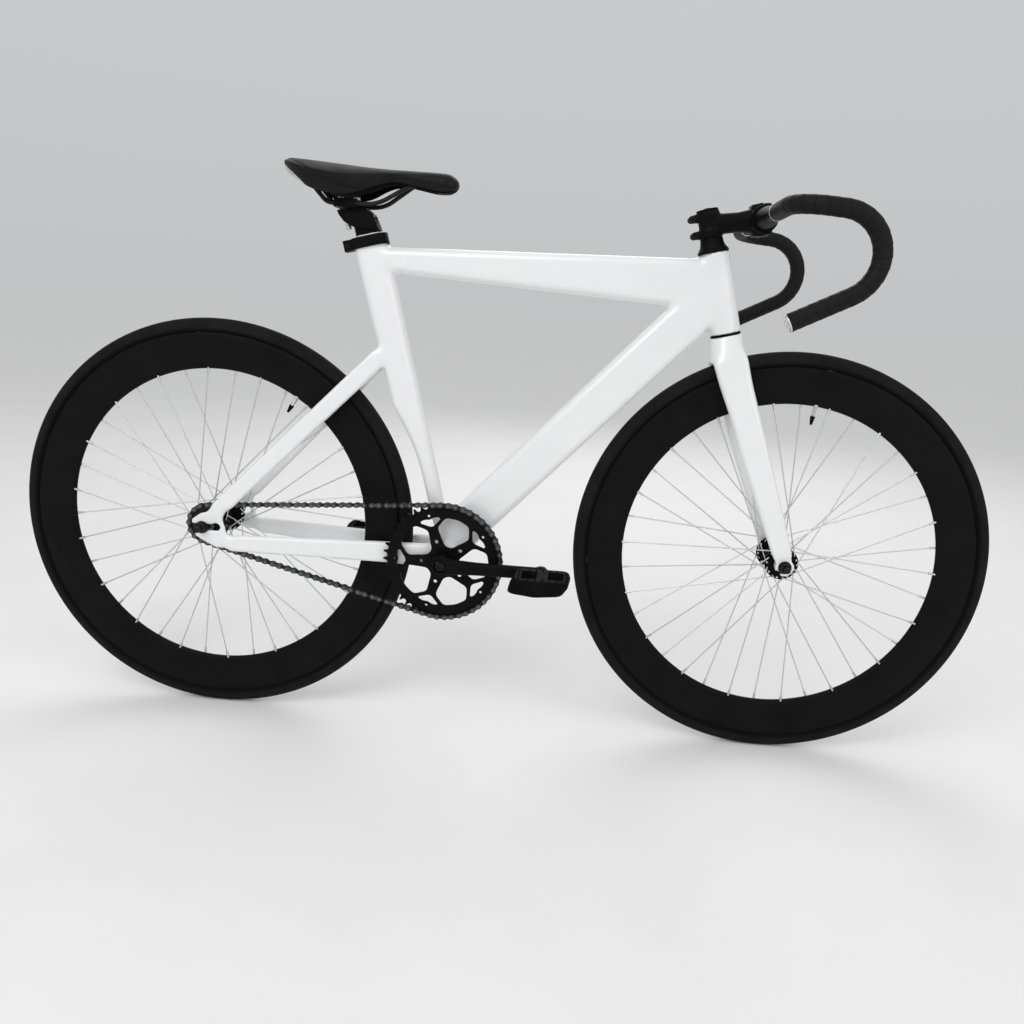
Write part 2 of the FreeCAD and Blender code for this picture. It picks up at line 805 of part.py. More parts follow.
# Steering
def make_fork():
    crown_low = fork_length - crown_height
    shift = crown_shift_share * fork_rake
    top_wire = rounded(on_head(fork_length), across, head_ahead, crown_top_size, crown_top_size, crown_top_size / 2)
    low_wire = rounded(on_head(crown_low, shift), across, head_ahead, crown_width, crown_depth, crown_corner)
    crown = loft([top_wire, low_wire])
    race_height = headset_gap - face_gap
    crown = crown.fuse(cylinder(on_head(fork_length), head_up, race_radius, race_height))
    arch_radius = tyre_radius + crown_gap
    arch = cylinder(front_axle - across * crown_slot_half, across, arch_radius, 2 * crown_slot_half)
    steerer_low = fork_length - brake_drop + brake_bore + steerer_wall
    bore = cylinder(on_head(steerer_low), head_up, steerer_radius + press_gap,
                    brake_drop + headset_gap + overrun)
    brake = cylinder(on_head(fork_length - brake_drop, -crown_depth), head_ahead, brake_bore, 2 * crown_depth)
    save("fork_crown", cut_all(crown, [arch, bore, brake]))
    steerer_top = stem_high - steerer_relief
    save("steerer_tube", ring(on_head(steerer_low), head_up, steerer_radius, steerer_radius - steerer_wall,
                              steerer_top - steerer_low))
    first_share = fork_blade_height_shares[0]
    last_share = fork_blade_height_shares[-1]
    stations = []
    for height, ahead, depth, thickness in zip(fork_blade_height_shares, fork_blade_ahead_shares,
                                               fork_blade_depth_shares, fork_blade_thickness_shares):
        down = (first_share - height) / (first_share - last_share)
        side = crown_side + (fork_end_side - crown_side) * down
        stations.append((on_head(height * fork_length, ahead * fork_rake, side), across, head_ahead,
                         thickness * fork_blade_thickness, depth * fork_blade_depth, fork_blade_corner))
    blade = hollow(stations, fork_blade_wall, False)[1].cut(crown)
    save("fork_blade_left", blade)
    save("fork_blade_right", mirrored(blade))
    blade_low = last_share * fork_length
    plate_height = blade_low + fork_end_tail
    plate_middle = on_head((blade_low - fork_end_tail) / 2, fork_rake, front_hub_half)
    plate = prism(rounded(plate_middle, head_ahead, head_up, fork_end_width, plate_height, fork_end_tail / 2),
                  across * fork_end_thickness)
    slot_length = fork_end_tail + front_axle_radius
    slot_middle = front_axle - head_up * (slot_length / 2) + head_up * front_axle_radius
    slot = prism(rounded(slot_middle, head_ahead, head_up, 2 * (front_axle_radius + slide_fit),
                         slot_length + 2 * slide_fit, front_axle_radius), across * (2 * front_hub_half))
    plate = plate.cut(slot)
    save("fork_ends", plate, mirrored(plate))


def make_headset_cover():
    low = face_gap
    waist = cover_top_radius + (head_radius - cover_top_radius) * cover_waist_share
    bore = steerer_radius + press_gap
    outline = ((low, bore), (low, head_radius), (cover_lip_height, head_radius), (cover_height / 2, waist),
               (cover_height, cover_top_radius), (cover_height, bore))
    save("headset_cover", turned(on_head(head_high), outline, head_up, head_ahead))


def stem_frame():
    drop = math.radians(stem_drop_angle)
    ahead = head_ahead * math.cos(drop) - head_up * math.sin(drop)
    rise = head_up * math.cos(drop) + head_ahead * math.sin(drop)
    middle = on_head(stem_low + stem_clamp_height / 2)
    return middle, ahead, rise, middle + ahead * stem_length


def make_stem():
    middle, ahead, rise, bar_centre = stem_frame()
    steer_clamp = cylinder(on_head(stem_low), head_up, stem_clamp_radius, stem_clamp_height)
    body = cylinder(middle, ahead, stem_body_radius, stem_length)
    boss_face = rounded(on_head(stem_low, -stem_clamp_radius), across, head_ahead, pinch_boss_width,
                        2 * pinch_boss_length, pinch_slot)
    boss = prism(boss_face, head_up * stem_clamp_height)
    clamp_radius = bar_clamp_radius + bar_clamp_wall
    clamp = cylinder(bar_centre - across * (bar_clamp_width / 2), across, clamp_radius, bar_clamp_width)
    lug_depth = face_bolt_length
    lug_height = 2 * (face_bolt_rise + stem_bolt_head_radius)
    lug_face = rounded(bar_centre - ahead * (lug_depth / 2), across, rise, bar_clamp_width, lug_height,
                       stem_bolt_head_radius)
    lugs = prism(lug_face, ahead * lug_depth)
    grip = joined([clamp, lugs])
    reach = 2 * clamp_radius
    half_wire = rounded(bar_centre + ahead * (faceplate_gap / 2), across, rise, 2 * reach, 2 * reach, pinch_slot)
    front_half = prism(half_wire, ahead * reach)
    back_wire = rounded(bar_centre - ahead * (faceplate_gap / 2), across, rise, 2 * reach, 2 * reach, pinch_slot)
    back_half = prism(back_wire, ahead * -reach)
    bar_hole = cylinder(bar_centre - across * reach, across, bar_clamp_radius + press_gap, 2 * reach)
    steer_hole = cylinder(on_head(stem_low - overrun), head_up, steerer_radius + press_gap,
                          stem_clamp_height + 2 * overrun)
    slot_face = rounded(on_head(stem_low - overrun, -stem_clamp_radius - overrun / 2), across, head_ahead,
                        pinch_slot, 2 * (pinch_boss_length + overrun / 2), pinch_slot / 2)
    slot = prism(slot_face, head_up * (stem_clamp_height + 2 * overrun))
    screws = []
    holes = []
    pinch_ahead = -stem_clamp_radius - pinch_boss_length / 2
    for extra, group in ((0, screws), (press_gap, holes)):
        for step in (-1, 1):
            seat = on_head(stem_low + stem_clamp_height / 2 + step * pinch_spread / 2, pinch_ahead,
                           -pinch_boss_width / 2 + stem_bolt_head_height)
            group.append(bolt(seat, across, stem_bolt_radius, pinch_boss_width - 2 * stem_bolt_head_height,
                              stem_bolt_head_radius, stem_bolt_head_height, extra))
        for side in (-1, 1):
            for step in (-1, 1):
                seat = (bar_centre + across * (side * face_bolt_side) + rise * (step * face_bolt_rise)
                        + ahead * (lug_depth / 2))
                group.append(bolt(seat, ahead * -1, stem_bolt_radius, lug_depth, stem_bolt_head_radius,
                                  stem_bolt_head_height, extra))
    stem_solid = joined([steer_clamp, body, boss, grip.common(back_half)])
    save("stem", cut_all(stem_solid, [front_half, bar_hole, steer_hole, slot] + holes))
    save("stem_faceplate", cut_all(grip.common(front_half), [bar_hole] + holes))
    save("stem_bolts", *screws)
    cap = turned(on_head(stem_high), ((0, 0), (0, top_cap_radius), (top_cap_height, top_cap_radius),
                                      (top_cap_height, top_cap_bolt_radius),
                                      (top_cap_height + top_cap_bolt_height, top_cap_bolt_radius),
                                      (top_cap_height + top_cap_bolt_height, 0)), head_up, head_ahead)
    save("stem_top_cap", cap)
    return bar_centre


def bar_side(bar_centre, start_side, sign):
    """Edges of half the bar, from a place on the tops out to the end of the drop."""
    ramp = math.radians(bar_ramp_angle)
    ahead = V(math.cos(ramp), 0, -math.sin(ramp))
    down = V(-math.sin(ramp), 0, -math.cos(ramp))
    out = across * sign
    start = bar_centre + out * start_side
    corner = bar_centre + out * (bar_half_width - bar_top_bend)
    bend = corner + ahead * bar_top_bend
    bend_middle = bend + (out - ahead).normalize() * bar_top_bend
    ramp_start = bend + out * bar_top_bend
    ramp_end = ramp_start + ahead * bar_ramp_length
    drop_centre = ramp_end + down * bar_drop_radius
    turn = math.radians(2 * quarter_turn - bar_end_pitch - bar_ramp_angle)

    def on_drop(angle):
        return drop_centre + ahead * (bar_drop_radius * math.sin(angle)) - down * (bar_drop_radius * math.cos(angle))

    heading = ahead * math.cos(turn) + down * math.sin(turn)
    drop_end = on_drop(turn)
    tip = drop_end + heading * bar_end_length
    edges = [Part.makeLine(start, corner), Part.Arc(corner, bend_middle, ramp_start).toShape(),
             Part.makeLine(ramp_start, ramp_end), Part.Arc(ramp_end, on_drop(turn / 2), drop_end).toShape(),
             Part.makeLine(drop_end, tip)]
    return edges, tip, heading


def make_handlebar(bar_centre):
    halves = {sign: bar_side(bar_centre, 0, sign) for sign in (-1, 1)}
    outer = []
    inner = []
    for sign in (-1, 1):
        path = Part.Wire(halves[sign][0])
        outer.append(pipe(path, bar_radius))
        inner.append(pipe(path, bar_radius - bar_wall))
    far = bar_bulge_half + bar_bulge_taper
    bulge = turned(bar_centre, ((-far, 0), (-far, bar_radius), (-bar_bulge_half, bar_clamp_radius),
                                (bar_bulge_half, bar_clamp_radius), (far, bar_radius), (far, 0)))
    bar = outer[0].fuse(outer[1]).fuse(bulge)
    save("handlebar", cut_all(bar, inner))
    plugs = []
    for sign, side_name in ((-1, "right"), (1, "left")):
        edges = bar_side(bar_centre, tape_start, sign)[0]
        path = Part.Wire(edges)
        tape = pipe(path, bar_radius + tape_thickness).cut(pipe(path, bar_radius + press_gap))
        save("bar_tape_" + side_name, tape)
        tip, heading = halves[sign][1:]
        lip = cylinder(tip, heading, bar_radius + tape_thickness, plug_lip)
        stub = cylinder(tip, heading * -1, bar_radius - bar_wall - press_gap, plug_depth)
        plugs.append(lip.fuse(stub))
    save("bar_end_plugs", *plugs)


# Wheels
def make_rim(name, centre, valve_angle, nipple_holes):
    """Deep hollow rim with a hooked tyre bed, from a section turned about the axle."""
    track_low = rim_outer_radius - rim_track_height
    flank_radius = rim_inner_radius + (track_low - rim_inner_radius) * rim_bulge_share
    flank_half = rim_nose_half + (rim_half_width - rim_nose_half) * math.sqrt(rim_bulge_share)
    bed_radius = rim_outer_radius - rim_bed_depth
    bed_half = rim_half_width - rim_hook

    def at(along, radius):
        return centre + across * along + upward * radius

    nose_rise = rim_inner_radius + rim_nose_half / 2
    right = [Part.Arc(at(rim_nose_half, nose_rise), at(flank_half, flank_radius),
                      at(rim_half_width, track_low)).toShape(),
             Part.makeLine(at(rim_half_width, track_low), at(rim_half_width, rim_outer_radius)),
             Part.makeLine(at(rim_half_width, rim_outer_radius), at(bed_half, rim_outer_radius)),
             Part.makeLine(at(bed_half, rim_outer_radius), at(bed_half, bed_radius)),
             Part.makeLine(at(bed_half, bed_radius), at(-bed_half, bed_radius))]
    left = [Part.makeLine(at(-bed_half, bed_radius), at(-bed_half, rim_outer_radius)),
            Part.makeLine(at(-bed_half, rim_outer_radius), at(-rim_half_width, rim_outer_radius)),
            Part.makeLine(at(-rim_half_width, rim_outer_radius), at(-rim_half_width, track_low)),
            Part.Arc(at(-rim_half_width, track_low), at(-flank_half, flank_radius),
                     at(-rim_nose_half, nose_rise)).toShape()]
    nose = Part.Arc(at(-rim_nose_half, nose_rise), at(0, rim_inner_radius), at(rim_nose_half, nose_rise)).toShape()
    body = Part.Face(Part.Wire(right + left + [nose])).revolve(centre, across, full_turn)
    cavity_low = nose_rise + rim_wall
    cavity_top = bed_radius - rim_wall
    cavity = turned(centre, ((rim_nose_half - rim_wall, cavity_low), (flank_half - rim_wall, flank_radius),
                             (rim_half_width - rim_wall, track_low), (rim_half_width - rim_wall, cavity_top),
                             (rim_wall - rim_half_width, cavity_top), (rim_wall - rim_half_width, track_low),
                             (rim_wall - flank_half, flank_radius), (rim_wall - rim_nose_half, cavity_low)))
    valve_out = wheel_direction(valve_angle)
    valve_hole = cylinder(centre, valve_out, valve_radius + press_gap, rim_outer_radius)
    save(name, cut_all(body, [cavity, valve_hole] + nipple_holes))


def wheel_direction(angle):
    return forward * math.cos(math.radians(angle)) + upward * math.sin(math.radians(angle))


def torus(centre, ring_radius, tube_radius):
    return Part.makeTorus(ring_radius, tube_radius, centre, across)


def make_tyre(side_name, centre, valve_angle):
    ring_radius = tyre_radius - tyre_half_width
    casing = torus(centre, ring_radius, tyre_half_width).cut(torus(centre, ring_radius, tyre_half_width - tyre_wall))
    base = rim_outer_radius + press_gap
    below = cylinder(centre - across * tyre_half_width, across, base, 2 * tyre_half_width)
    casing = casing.cut(below)
    bead_outer = rim_half_width - rim_hook - press_gap
    bead_inner = bead_outer - bead_thickness
    bead_low = base - bead_height + bead_thickness
    casing_inner = tyre_half_width - tyre_wall
    bead_top = ring_radius - math.sqrt(casing_inner ** 2 - bead_inner ** 2) + tyre_wall / 2
    beads = []
    for sign in (-1, 1):
        beads.append(turned(centre, [(sign * along, radius) for along, radius in
                                     ((bead_inner, bead_low), (bead_outer, bead_low), (bead_outer, base),
                                      (bead_outer + press_gap, bead_top), (bead_inner, bead_top))]))
    save(side_name + "_tyre", joined([casing] + beads))
    tube_ring = tyre_radius - tyre_wall - slide_fit - air_tube_radius
    skin = torus(centre, tube_ring, air_tube_radius).cut(torus(centre, tube_ring, air_tube_radius - air_tube_skin))
    out = wheel_direction(valve_angle)
    valve_top = tube_ring - air_tube_radius + air_tube_skin * valve_root_share
    stem = cylinder(centre + out * (valve_top - valve_length), out, valve_radius, valve_length)
    air_tube = skin.fuse(stem)
    cap_low = valve_top - valve_length - valve_cap_length / 2
    cap = cylinder(centre + out * cap_low, out, valve_cap_radius, valve_cap_length)
    cap = cap.cut(cylinder(centre + out * (valve_top - valve_length), out, valve_radius + press_gap, valve_length))
    save(side_name + "_inner_tube", air_tube, cap)


def spoke_layout(centre, flange_side, hole_radius, valve_angle):
    """Start, end, side and head direction of each spoke, crossed on both flanges."""
    step = full_turn / spoke_count
    sweep = 2 * full_turn * spoke_cross / spoke_count
    lean = flange_thickness / 2 + spoke_radius + spoke_lift
    spokes = []
    for index in range(spoke_count):
        side = 1 if index % 2 == 0 else -1
        pair = index // 2
        outer = pair % 2 == 0
        turn = sweep if outer else -sweep
        rim_angle = valve_angle + step / 2 + index * step
        hub_angle = rim_angle - turn
        flange = side * flange_side
        start_side = flange + side * (lean if outer else -lean)
        hole = centre + wheel_direction(hub_angle) * hole_radius
        start = hole + across * start_side
        end = (centre + wheel_direction(rim_angle) * (rim_inner_radius + nipple_in)
               + across * (side * spoke_rim_side))
        head_out = across * (-side if outer else side)
        spokes.append((start, end, hole + across * flange, head_out))
    return spokes


def make_spokes(side_name, layout):
    solids = []
    nipples = []
    nipple_holes = []
    for start, end, flange_point, head_out in layout:
        along = (end - start).normalize()
        run = cylinder(start, along, spoke_radius, (end - start).Length)
        head_base = flange_point + head_out * (flange_thickness / 2 + press_gap)
        elbow = cylinder(start, head_out, spoke_radius, (head_base - start).Length)
        head = cylinder(head_base, head_out, spoke_head_radius, spoke_head_height)
        ball = Part.makeSphere(spoke_radius, start)
        solids.append(run.fuse(elbow).fuse(head).fuse(ball))
        foot = end - along * (nipple_in + nipple_out)
        length = nipple_in + nipple_out
        nipples.append(ring(foot, along, nipple_radius, spoke_radius + press_gap, length))
        nipple_holes.append(cylinder(foot, along, nipple_radius + press_gap, length + overrun))
    save(side_name + "_spokes", *(solids + nipples))
    return nipple_holes


def make_hub(side_name, centre, flange_side, flange_radius, end_side, layout, drive):
    flange_out = flange_side + flange_thickness / 2
    flange_in = flange_side - flange_thickness / 2
    seat = end_side - hub_bearing_width
    drive_boss = cog_bore - press_gap if drive else hub_boss_radius
    seat_radius = hub_bearing_radius + press_gap
    outline = ((-end_side, seat_radius), (-end_side, drive_boss), (-flange_out, drive_boss),
               (-flange_out, flange_radius), (-flange_in, flange_radius), (-flange_in, hub_barrel_radius),
               (flange_in, hub_barrel_radius), (flange_in, flange_radius), (flange_out, flange_radius),
               (flange_out, hub_boss_radius), (end_side, hub_boss_radius), (end_side, seat_radius),
               (seat, seat_radius), (seat, hub_bore), (-seat, hub_bore), (-seat, seat_radius))
    shell = turned(centre, outline)
    holes = [cylinder(point - head_out * flange_thickness, head_out, spoke_hole, 2 * flange_thickness)
             for _, _, point, head_out in layout]
    save(side_name + "_hub", cut_all(shell, holes))
    axle_radius = rear_axle_radius if drive else front_axle_radius
    bearings = []
    for side in (-1, 1):
        base = centre + across * (side * end_side)
        bearings.append(ring(base, across * -side, hub_bearing_radius, axle_radius + running_fit, hub_bearing_width))
    save(side_name + "_hub_bearings", *bearings)


def make_wheel(side_name, centre, flange_side, flange_radius, hub_half, valve_angle, drive):
    hole_radius = flange_radius - flange_edge
    end_side = chain_line + cog_width / 2 + lockring_width if drive else flange_side + hub_boss_out
    layout = spoke_layout(centre, flange_side, hole_radius, valve_angle)
    nipple_holes = make_spokes(side_name, layout)
    make_rim(side_name + "_rim", centre, valve_angle, nipple_holes)
    make_tyre(side_name, centre, valve_angle)
    make_hub(side_name, centre, flange_side, flange_radius, end_side, layout, drive)
    plate = dropout_thickness if drive else fork_end_thickness
    radius = rear_axle_radius if drive else front_axle_radius
    flats = nut_flats if drive else front_nut_flats
    make_axle(side_name + "_axle", centre, hub_half, plate, radius, flats, end_side + face_gap)


# Drive
def pitch_radius(teeth):
    return chain_pitch / (2 * math.sin(math.pi / teeth))


def toothed_plate(centre, teeth, gap_angle):
    """Plate with teeth, one gap of which lies at gap_angle, midway on the chain line."""
    step = full_turn / teeth
    radius = pitch_radius(teeth)
    root = roller_radius + roller_play
    base = V(centre.x, -chain_line - tooth_thickness / 2, centre.z)

    edges = []
    for index in range(teeth):
        angle = gap_angle + index * step
        out = wheel_direction(angle)
        aside = wheel_direction(angle + quarter_turn)
        gap = base + out * radius

        def on_root(turn):
            return gap - out * (root * math.cos(math.radians(turn))) + aside * (root * math.sin(math.radians(turn)))

        tip_out = wheel_direction(angle + step / 2)
        tip_aside = wheel_direction(angle + step / 2 + quarter_turn)
        tip = base + tip_out * (radius + tooth_height)
        near_tip = tip - tip_aside * tooth_tip_half
        far_tip = tip + tip_aside * tooth_tip_half
        next_out = wheel_direction(angle + step)
        next_aside = wheel_direction(angle + step + quarter_turn)
        next_start = (base + next_out * (radius - root * math.cos(math.radians(root_half_angle)))
                      - next_aside * (root * math.sin(math.radians(root_half_angle))))
        edges.append(Part.Arc(on_root(-root_half_angle), on_root(0), on_root(root_half_angle)).toShape())
        edges.append(Part.makeLine(on_root(root_half_angle), near_tip))
        edges.append(Part.makeLine(near_tip, far_tip))
        edges.append(Part.makeLine(far_tip, next_start))
    return prism(Part.Wire(edges), across * tooth_thickness)


def chain_places():
    """Roller centres round both sprockets in order, and the angle of one tooth gap on each."""
    big = pitch_radius(chainring_teeth)
    small = pitch_radius(cog_teeth)
    run = bracket - rear_axle
    base = math.degrees(math.atan2(run.z, run.x))
    lean = math.degrees(math.asin((big - small) / run.Length))
    straight = math.sqrt(run.Length ** 2 - (big - small) ** 2)
    top_angle = base + quarter_turn + lean
    low_angle = base - quarter_turn - lean
    ring_step = full_turn / chainring_teeth
    cog_step = full_turn / cog_teeth
    ring_count = int((2 * quarter_turn + 2 * lean) / ring_step)
    ring_rest = big * math.radians(2 * quarter_turn + 2 * lean - ring_count * ring_step)
    places = [bracket + wheel_direction(top_angle - index * ring_step) * big for index in range(ring_count + 1)]
    top_count = int(straight / chain_pitch)
    first_cog = math.degrees((chain_pitch - (straight - top_count * chain_pitch)) / small)
    cog_wrap = 2 * quarter_turn - 2 * lean
    cog_count = int((cog_wrap - first_cog) / cog_step) + 1
    cog_rest = small * math.radians(cog_wrap - first_cog - (cog_count - 1) * cog_step)
    low_start = chain_pitch - ring_rest
    low_end = chain_pitch - cog_rest
    low_run = straight - low_start - low_end
    low_count = round(low_run / chain_pitch)
    if (ring_count + 1 + low_count + 1 + cog_count + top_count) % 2:
        low_count += 1 if low_run / chain_pitch > low_count else -1
    low_tangent = bracket + wheel_direction(low_angle) * big
    low_back = wheel_direction(low_angle - quarter_turn)
    low_step = low_run / low_count
    places += [low_tangent + low_back * (low_start + index * low_step) for index in range(low_count + 1)]
    cog_angles = [top_angle + first_cog + index * cog_step for index in range(cog_count)]
    places += [rear_axle + wheel_direction(angle) * small for angle in reversed(cog_angles)]
    top_tangent = bracket + wheel_direction(top_angle) * big
    top_back = wheel_direction(top_angle + quarter_turn)
    places += [top_tangent + top_back * (index * chain_pitch) for index in range(top_count, 0, -1)]
    print("chain links", len(places), "slack-run pitch", round(low_step, 3))
    return places, top_angle, cog_angles[0]


def link_plate(inner_face):
    """Pair of waisted plates for one link, lying along X from its middle."""
    half = chain_pitch / 2
    plates = []
    for face in (inner_face, -inner_face - chain_plate):
        ends = [cylinder(V(sign * half, face, 0), across, chain_plate_radius, chain_plate) for sign in (-1, 1)]
        waist = Part.makeBox(chain_pitch, chain_plate, chain_waist, V(-half, face, -chain_waist / 2))
        plates.append(joined(ends + [waist]))
    return plates


def make_chain(places):
    half = chain_pitch / 2
    inner_face = chain_inner_width / 2
    outer_face = inner_face + chain_plate + chain_plate_gap
    pin_half = outer_face + chain_plate + chain_pin_proud
    bore = chain_pin_radius + running_fit
    rollers = [cylinder(V(sign * half, -inner_face, 0), across, roller_radius, chain_inner_width) for sign in (-1, 1)]
    bores = [cylinder(V(sign * half, -pin_half, 0), across, bore, 2 * pin_half) for sign in (-1, 1)]
    inner_link = cut_all(joined(link_plate(inner_face) + rollers), bores)
    pins = [cylinder(V(sign * half, -pin_half, 0), across, chain_pin_radius, 2 * pin_half) for sign in (-1, 1)]
    outer_link = joined(link_plate(outer_face) + pins)
    links = []
    for index, place in enumerate(places):
        following = places[(index + 1) % len(places)]
        run = following - place
        middle = (place + following) * 0.5
        link = (outer_link if index % 2 else inner_link).copy()
        turn = -math.degrees(math.atan2(run.z, run.x))
        link.Placement = FreeCAD.Placement(V(middle.x, -chain_line, middle.z), FreeCAD.Rotation(across, turn))
        links.append(link)
    save("chain", *links)


def make_chainring(gap_angle):
    centre = V(bracket.x, -chain_line, bracket.z)
    base = centre - across * (ring_thickness / 2)
    thick = across * ring_thickness
    teeth = toothed_plate(bracket, chainring_teeth, gap_angle)
    inside = cylinder(centre - across * overrun, across, ring_rim_inner, 2 * overrun)
    pieces = [teeth.cut(inside), ring(base, across, ring_rim_outer, ring_rim_inner, ring_thickness),
              cylinder(base, across, ring_hub_radius, ring_thickness)]
    holes = [cylinder(base - across * overrun, across, crank_boss_radius + press_gap, ring_thickness + 2 * overrun)]
    rim_middle = (ring_rim_inner + ring_rim_outer) / 2
    for index in range(ring_arm_count):
        angle = 2 * quarter_turn + index * full_turn / ring_arm_count
        out = wheel_direction(angle)
        aside = wheel_direction(angle + quarter_turn)
        arm = rounded(base + out * (ring_arm_length / 2), out, aside, ring_arm_length, ring_arm_width,
                      ring_fork_width / 2)
        pieces.append(prism(arm, thick))
        root = base + out * (ring_arm_length - ring_arm_width / 2)
        for sign in (-1, 1):
            tip = base + wheel_direction(angle + sign * ring_fork_half_angle) * rim_middle
            run = tip - root
            along = V(run.x, 0, run.z).normalize()
            beside = V(-along.z, 0, along.x)
            branch = rounded(root + run * 0.5, along, beside, run.Length + ring_fork_width, ring_fork_width,
                             ring_fork_width / 2)
            pieces.append(prism(branch, thick))
        boss = base + out * ring_boss_out
        pieces.append(cylinder(boss, across, ring_boss_radius, ring_thickness))
        holes.append(cylinder(boss - across * overrun, across, ring_boss_hole, ring_thickness + 2 * overrun))
        spot = base + out * ring_arm_hole_out - across * overrun
        holes.append(cylinder(spot, across, ring_arm_hole, ring_thickness + 2 * overrun))
    save("chainring", cut_all(joined(pieces), holes))


def make_cog(gap_angle):
    centre = V(rear_axle.x, -chain_line, rear_axle.z)
    teeth = toothed_plate(rear_axle, cog_teeth, gap_angle)
    body = cylinder(centre - across * (cog_width / 2), across, cog_body_radius, cog_width)
    bore = cylinder(centre - across * overrun, across, cog_bore, 2 * overrun)
    save("fixed_cog", teeth.fuse(body).cut(bore))
    outer_face = centre - across * (cog_width / 2)
    save("cog_lockring", ring(outer_face, across * -1, lockring_radius, cog_bore, lockring_width))


def crank_eye(sign):
    return bracket + V(crank_length * -sign, 0, 0)


def make_crank():
    hole_side = spindle_half + taper_length
    taper = prism(rounded(bracket - across * hole_side, forward, upward, taper_square, taper_square,
                          spindle_radius - taper_square / 2), across * (2 * hole_side))
    spindle = cylinder(bracket - across * spindle_half, across, spindle_radius, 2 * spindle_half).fuse(taper)
    threads = [cylinder(bracket + across * (sign * (hole_side + overrun)), across * -sign,
                        crank_bolt_radius + press_gap, crank_bolt_length + overrun) for sign in (-1, 1)]
    save("crank_spindle", cut_all(spindle, threads))
    bolts = []
    spindles = []
    for sign, side_name in ((-1, "right"), (1, "left")):
        out = across * sign
        boss_inner = chain_line - ring_thickness if sign < 0 else spindle_half
        boss = cylinder(bracket + out * boss_inner, out, crank_boss_radius, crank_face - boss_inner)
        eye = crank_eye(sign)
        ahead = (eye - bracket).normalize()
        middle_side = (crank_face + crank_inner_face) / 2
        root = rounded(bracket + out * middle_side, across, upward, crank_face - crank_inner_face,
                       crank_root_depth, crank_corner)
        tip = rounded(eye + out * (crank_face - crank_tip_thickness / 2), across, upward, crank_tip_thickness,
                      crank_tip_depth, crank_corner)
        arm = loft([root, tip])
        knuckle = cylinder(eye + out * (crank_face - crank_tip_thickness), out, crank_tip_depth / 2,
                           crank_tip_thickness)
        socket = prism(rounded(bracket + out * spindle_half, forward, upward, taper_square + 2 * press_gap,
                               taper_square + 2 * press_gap, spindle_radius - taper_square / 2), out * crank_face)
        neck = cylinder(bracket, out, spindle_radius + press_gap, spindle_half)
        recess = cylinder(bracket + out * (crank_face - crank_recess_depth), out, crank_recess_radius, crank_face)
        thread = cylinder(eye, out, pedal_spindle_radius + press_gap, crank_face + overrun)
        solid = cut_all(joined([boss, arm, knuckle]), [socket, neck, recess, thread])
        save("crank_arm_" + side_name, solid)
        bolt_face = bracket + out * (crank_face - crank_recess_depth)
        bolts.append(bolt(bracket + out * hole_side, out * -1, crank_bolt_radius, crank_bolt_length,
                          crank_bolt_head_radius, (bolt_face - bracket).Length + crank_bolt_head_height - hole_side))
        spindles.append(pedal_spindle(eye, out))
        make_pedal("pedal_" + side_name, eye, out, ahead)
    save("crank_bolts", *bolts)
    save("pedal_spindles", *spindles)


def pedal_spindle(eye, out):
    """Spindle screwed into the crank eye, with a collar on the crank's face."""
    inner = crank_face - crank_tip_thickness
    far = crank_face + pedal_gap + pedal_width - pedal_side_bar / 2
    outline = ((inner, 0), (inner, pedal_spindle_radius), (crank_face, pedal_spindle_radius),
               (crank_face, pedal_collar_radius), (crank_face + pedal_collar_length, pedal_collar_radius),
               (crank_face + pedal_collar_length, pedal_spindle_radius), (far, pedal_spindle_radius), (far, 0))
    return turned(eye, outline, out)


def make_pedal(name, eye, out, ahead):
    near = eye + out * (crank_face + pedal_gap)
    middle = near + out * (pedal_width / 2)
    low = upward * (pedal_height / 2)
    plate = prism(rounded(middle - low, ahead, across, pedal_length, pedal_width, pedal_corner), low * 2)
    windows = []
    for sign in (-1, 1):
        offset = pedal_barrel_radius + pedal_window_length / 2
        centre = middle + ahead * (sign * offset) - low * 2
        windows.append(prism(rounded(centre, ahead, across, pedal_window_length, pedal_window_width,
                                     pedal_window_corner), low * 4))
    bore = cylinder(near - out * overrun, out, pedal_spindle_radius + running_fit,
                    overrun + pedal_width - pedal_side_bar / 2 + face_gap)
    body = cut_all(plate, windows + [bore])
    studs = []
    for step in (-1, 1):
        for side in (-1, 1):
            spot = (middle + ahead * (step * pedal_stud_along_share * pedal_length)
                    + across * (side * pedal_stud_side_share * pedal_width))
            studs.append(cylinder(spot - low - upward * pedal_stud_height, upward, pedal_stud_radius,
                                  pedal_height + 2 * pedal_stud_height))
    save(name, joined([body] + studs))


def main():
    os.makedirs("parts", exist_ok=True)
    head = make_head_tube()
    shell = make_bracket_shell()
    seat = make_seat_tube(shell)
    top = make_top_tube(head, seat)
    down = make_down_tube(head, shell, seat, top)
    low_stay, high_stay = make_stays(shell, seat, down)
    make_dropouts(low_stay, high_stay)
    make_seat_collar()
    make_seat()
    make_fork()
    make_headset_cover()
    make_handlebar(make_stem())
    make_wheel("front", front_axle, front_flange_side, front_flange_radius, front_hub_half, front_valve_angle, False)
    make_wheel("rear", rear_axle, rear_flange_side, rear_flange_radius, rear_hub_half, rear_valve_angle, True)
    places, ring_gap, cog_gap = chain_places()
    make_chain(places)
    make_chainring(ring_gap)
    make_cog(cog_gap)
    make_crank()


main()
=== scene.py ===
"""Looks of the fixed gear bike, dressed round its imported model."""
import json
import math

import bmesh
import bpy
import numpy as np
from mathutils import Matrix, Vector
from mathutils.bvhtree import BVHTree


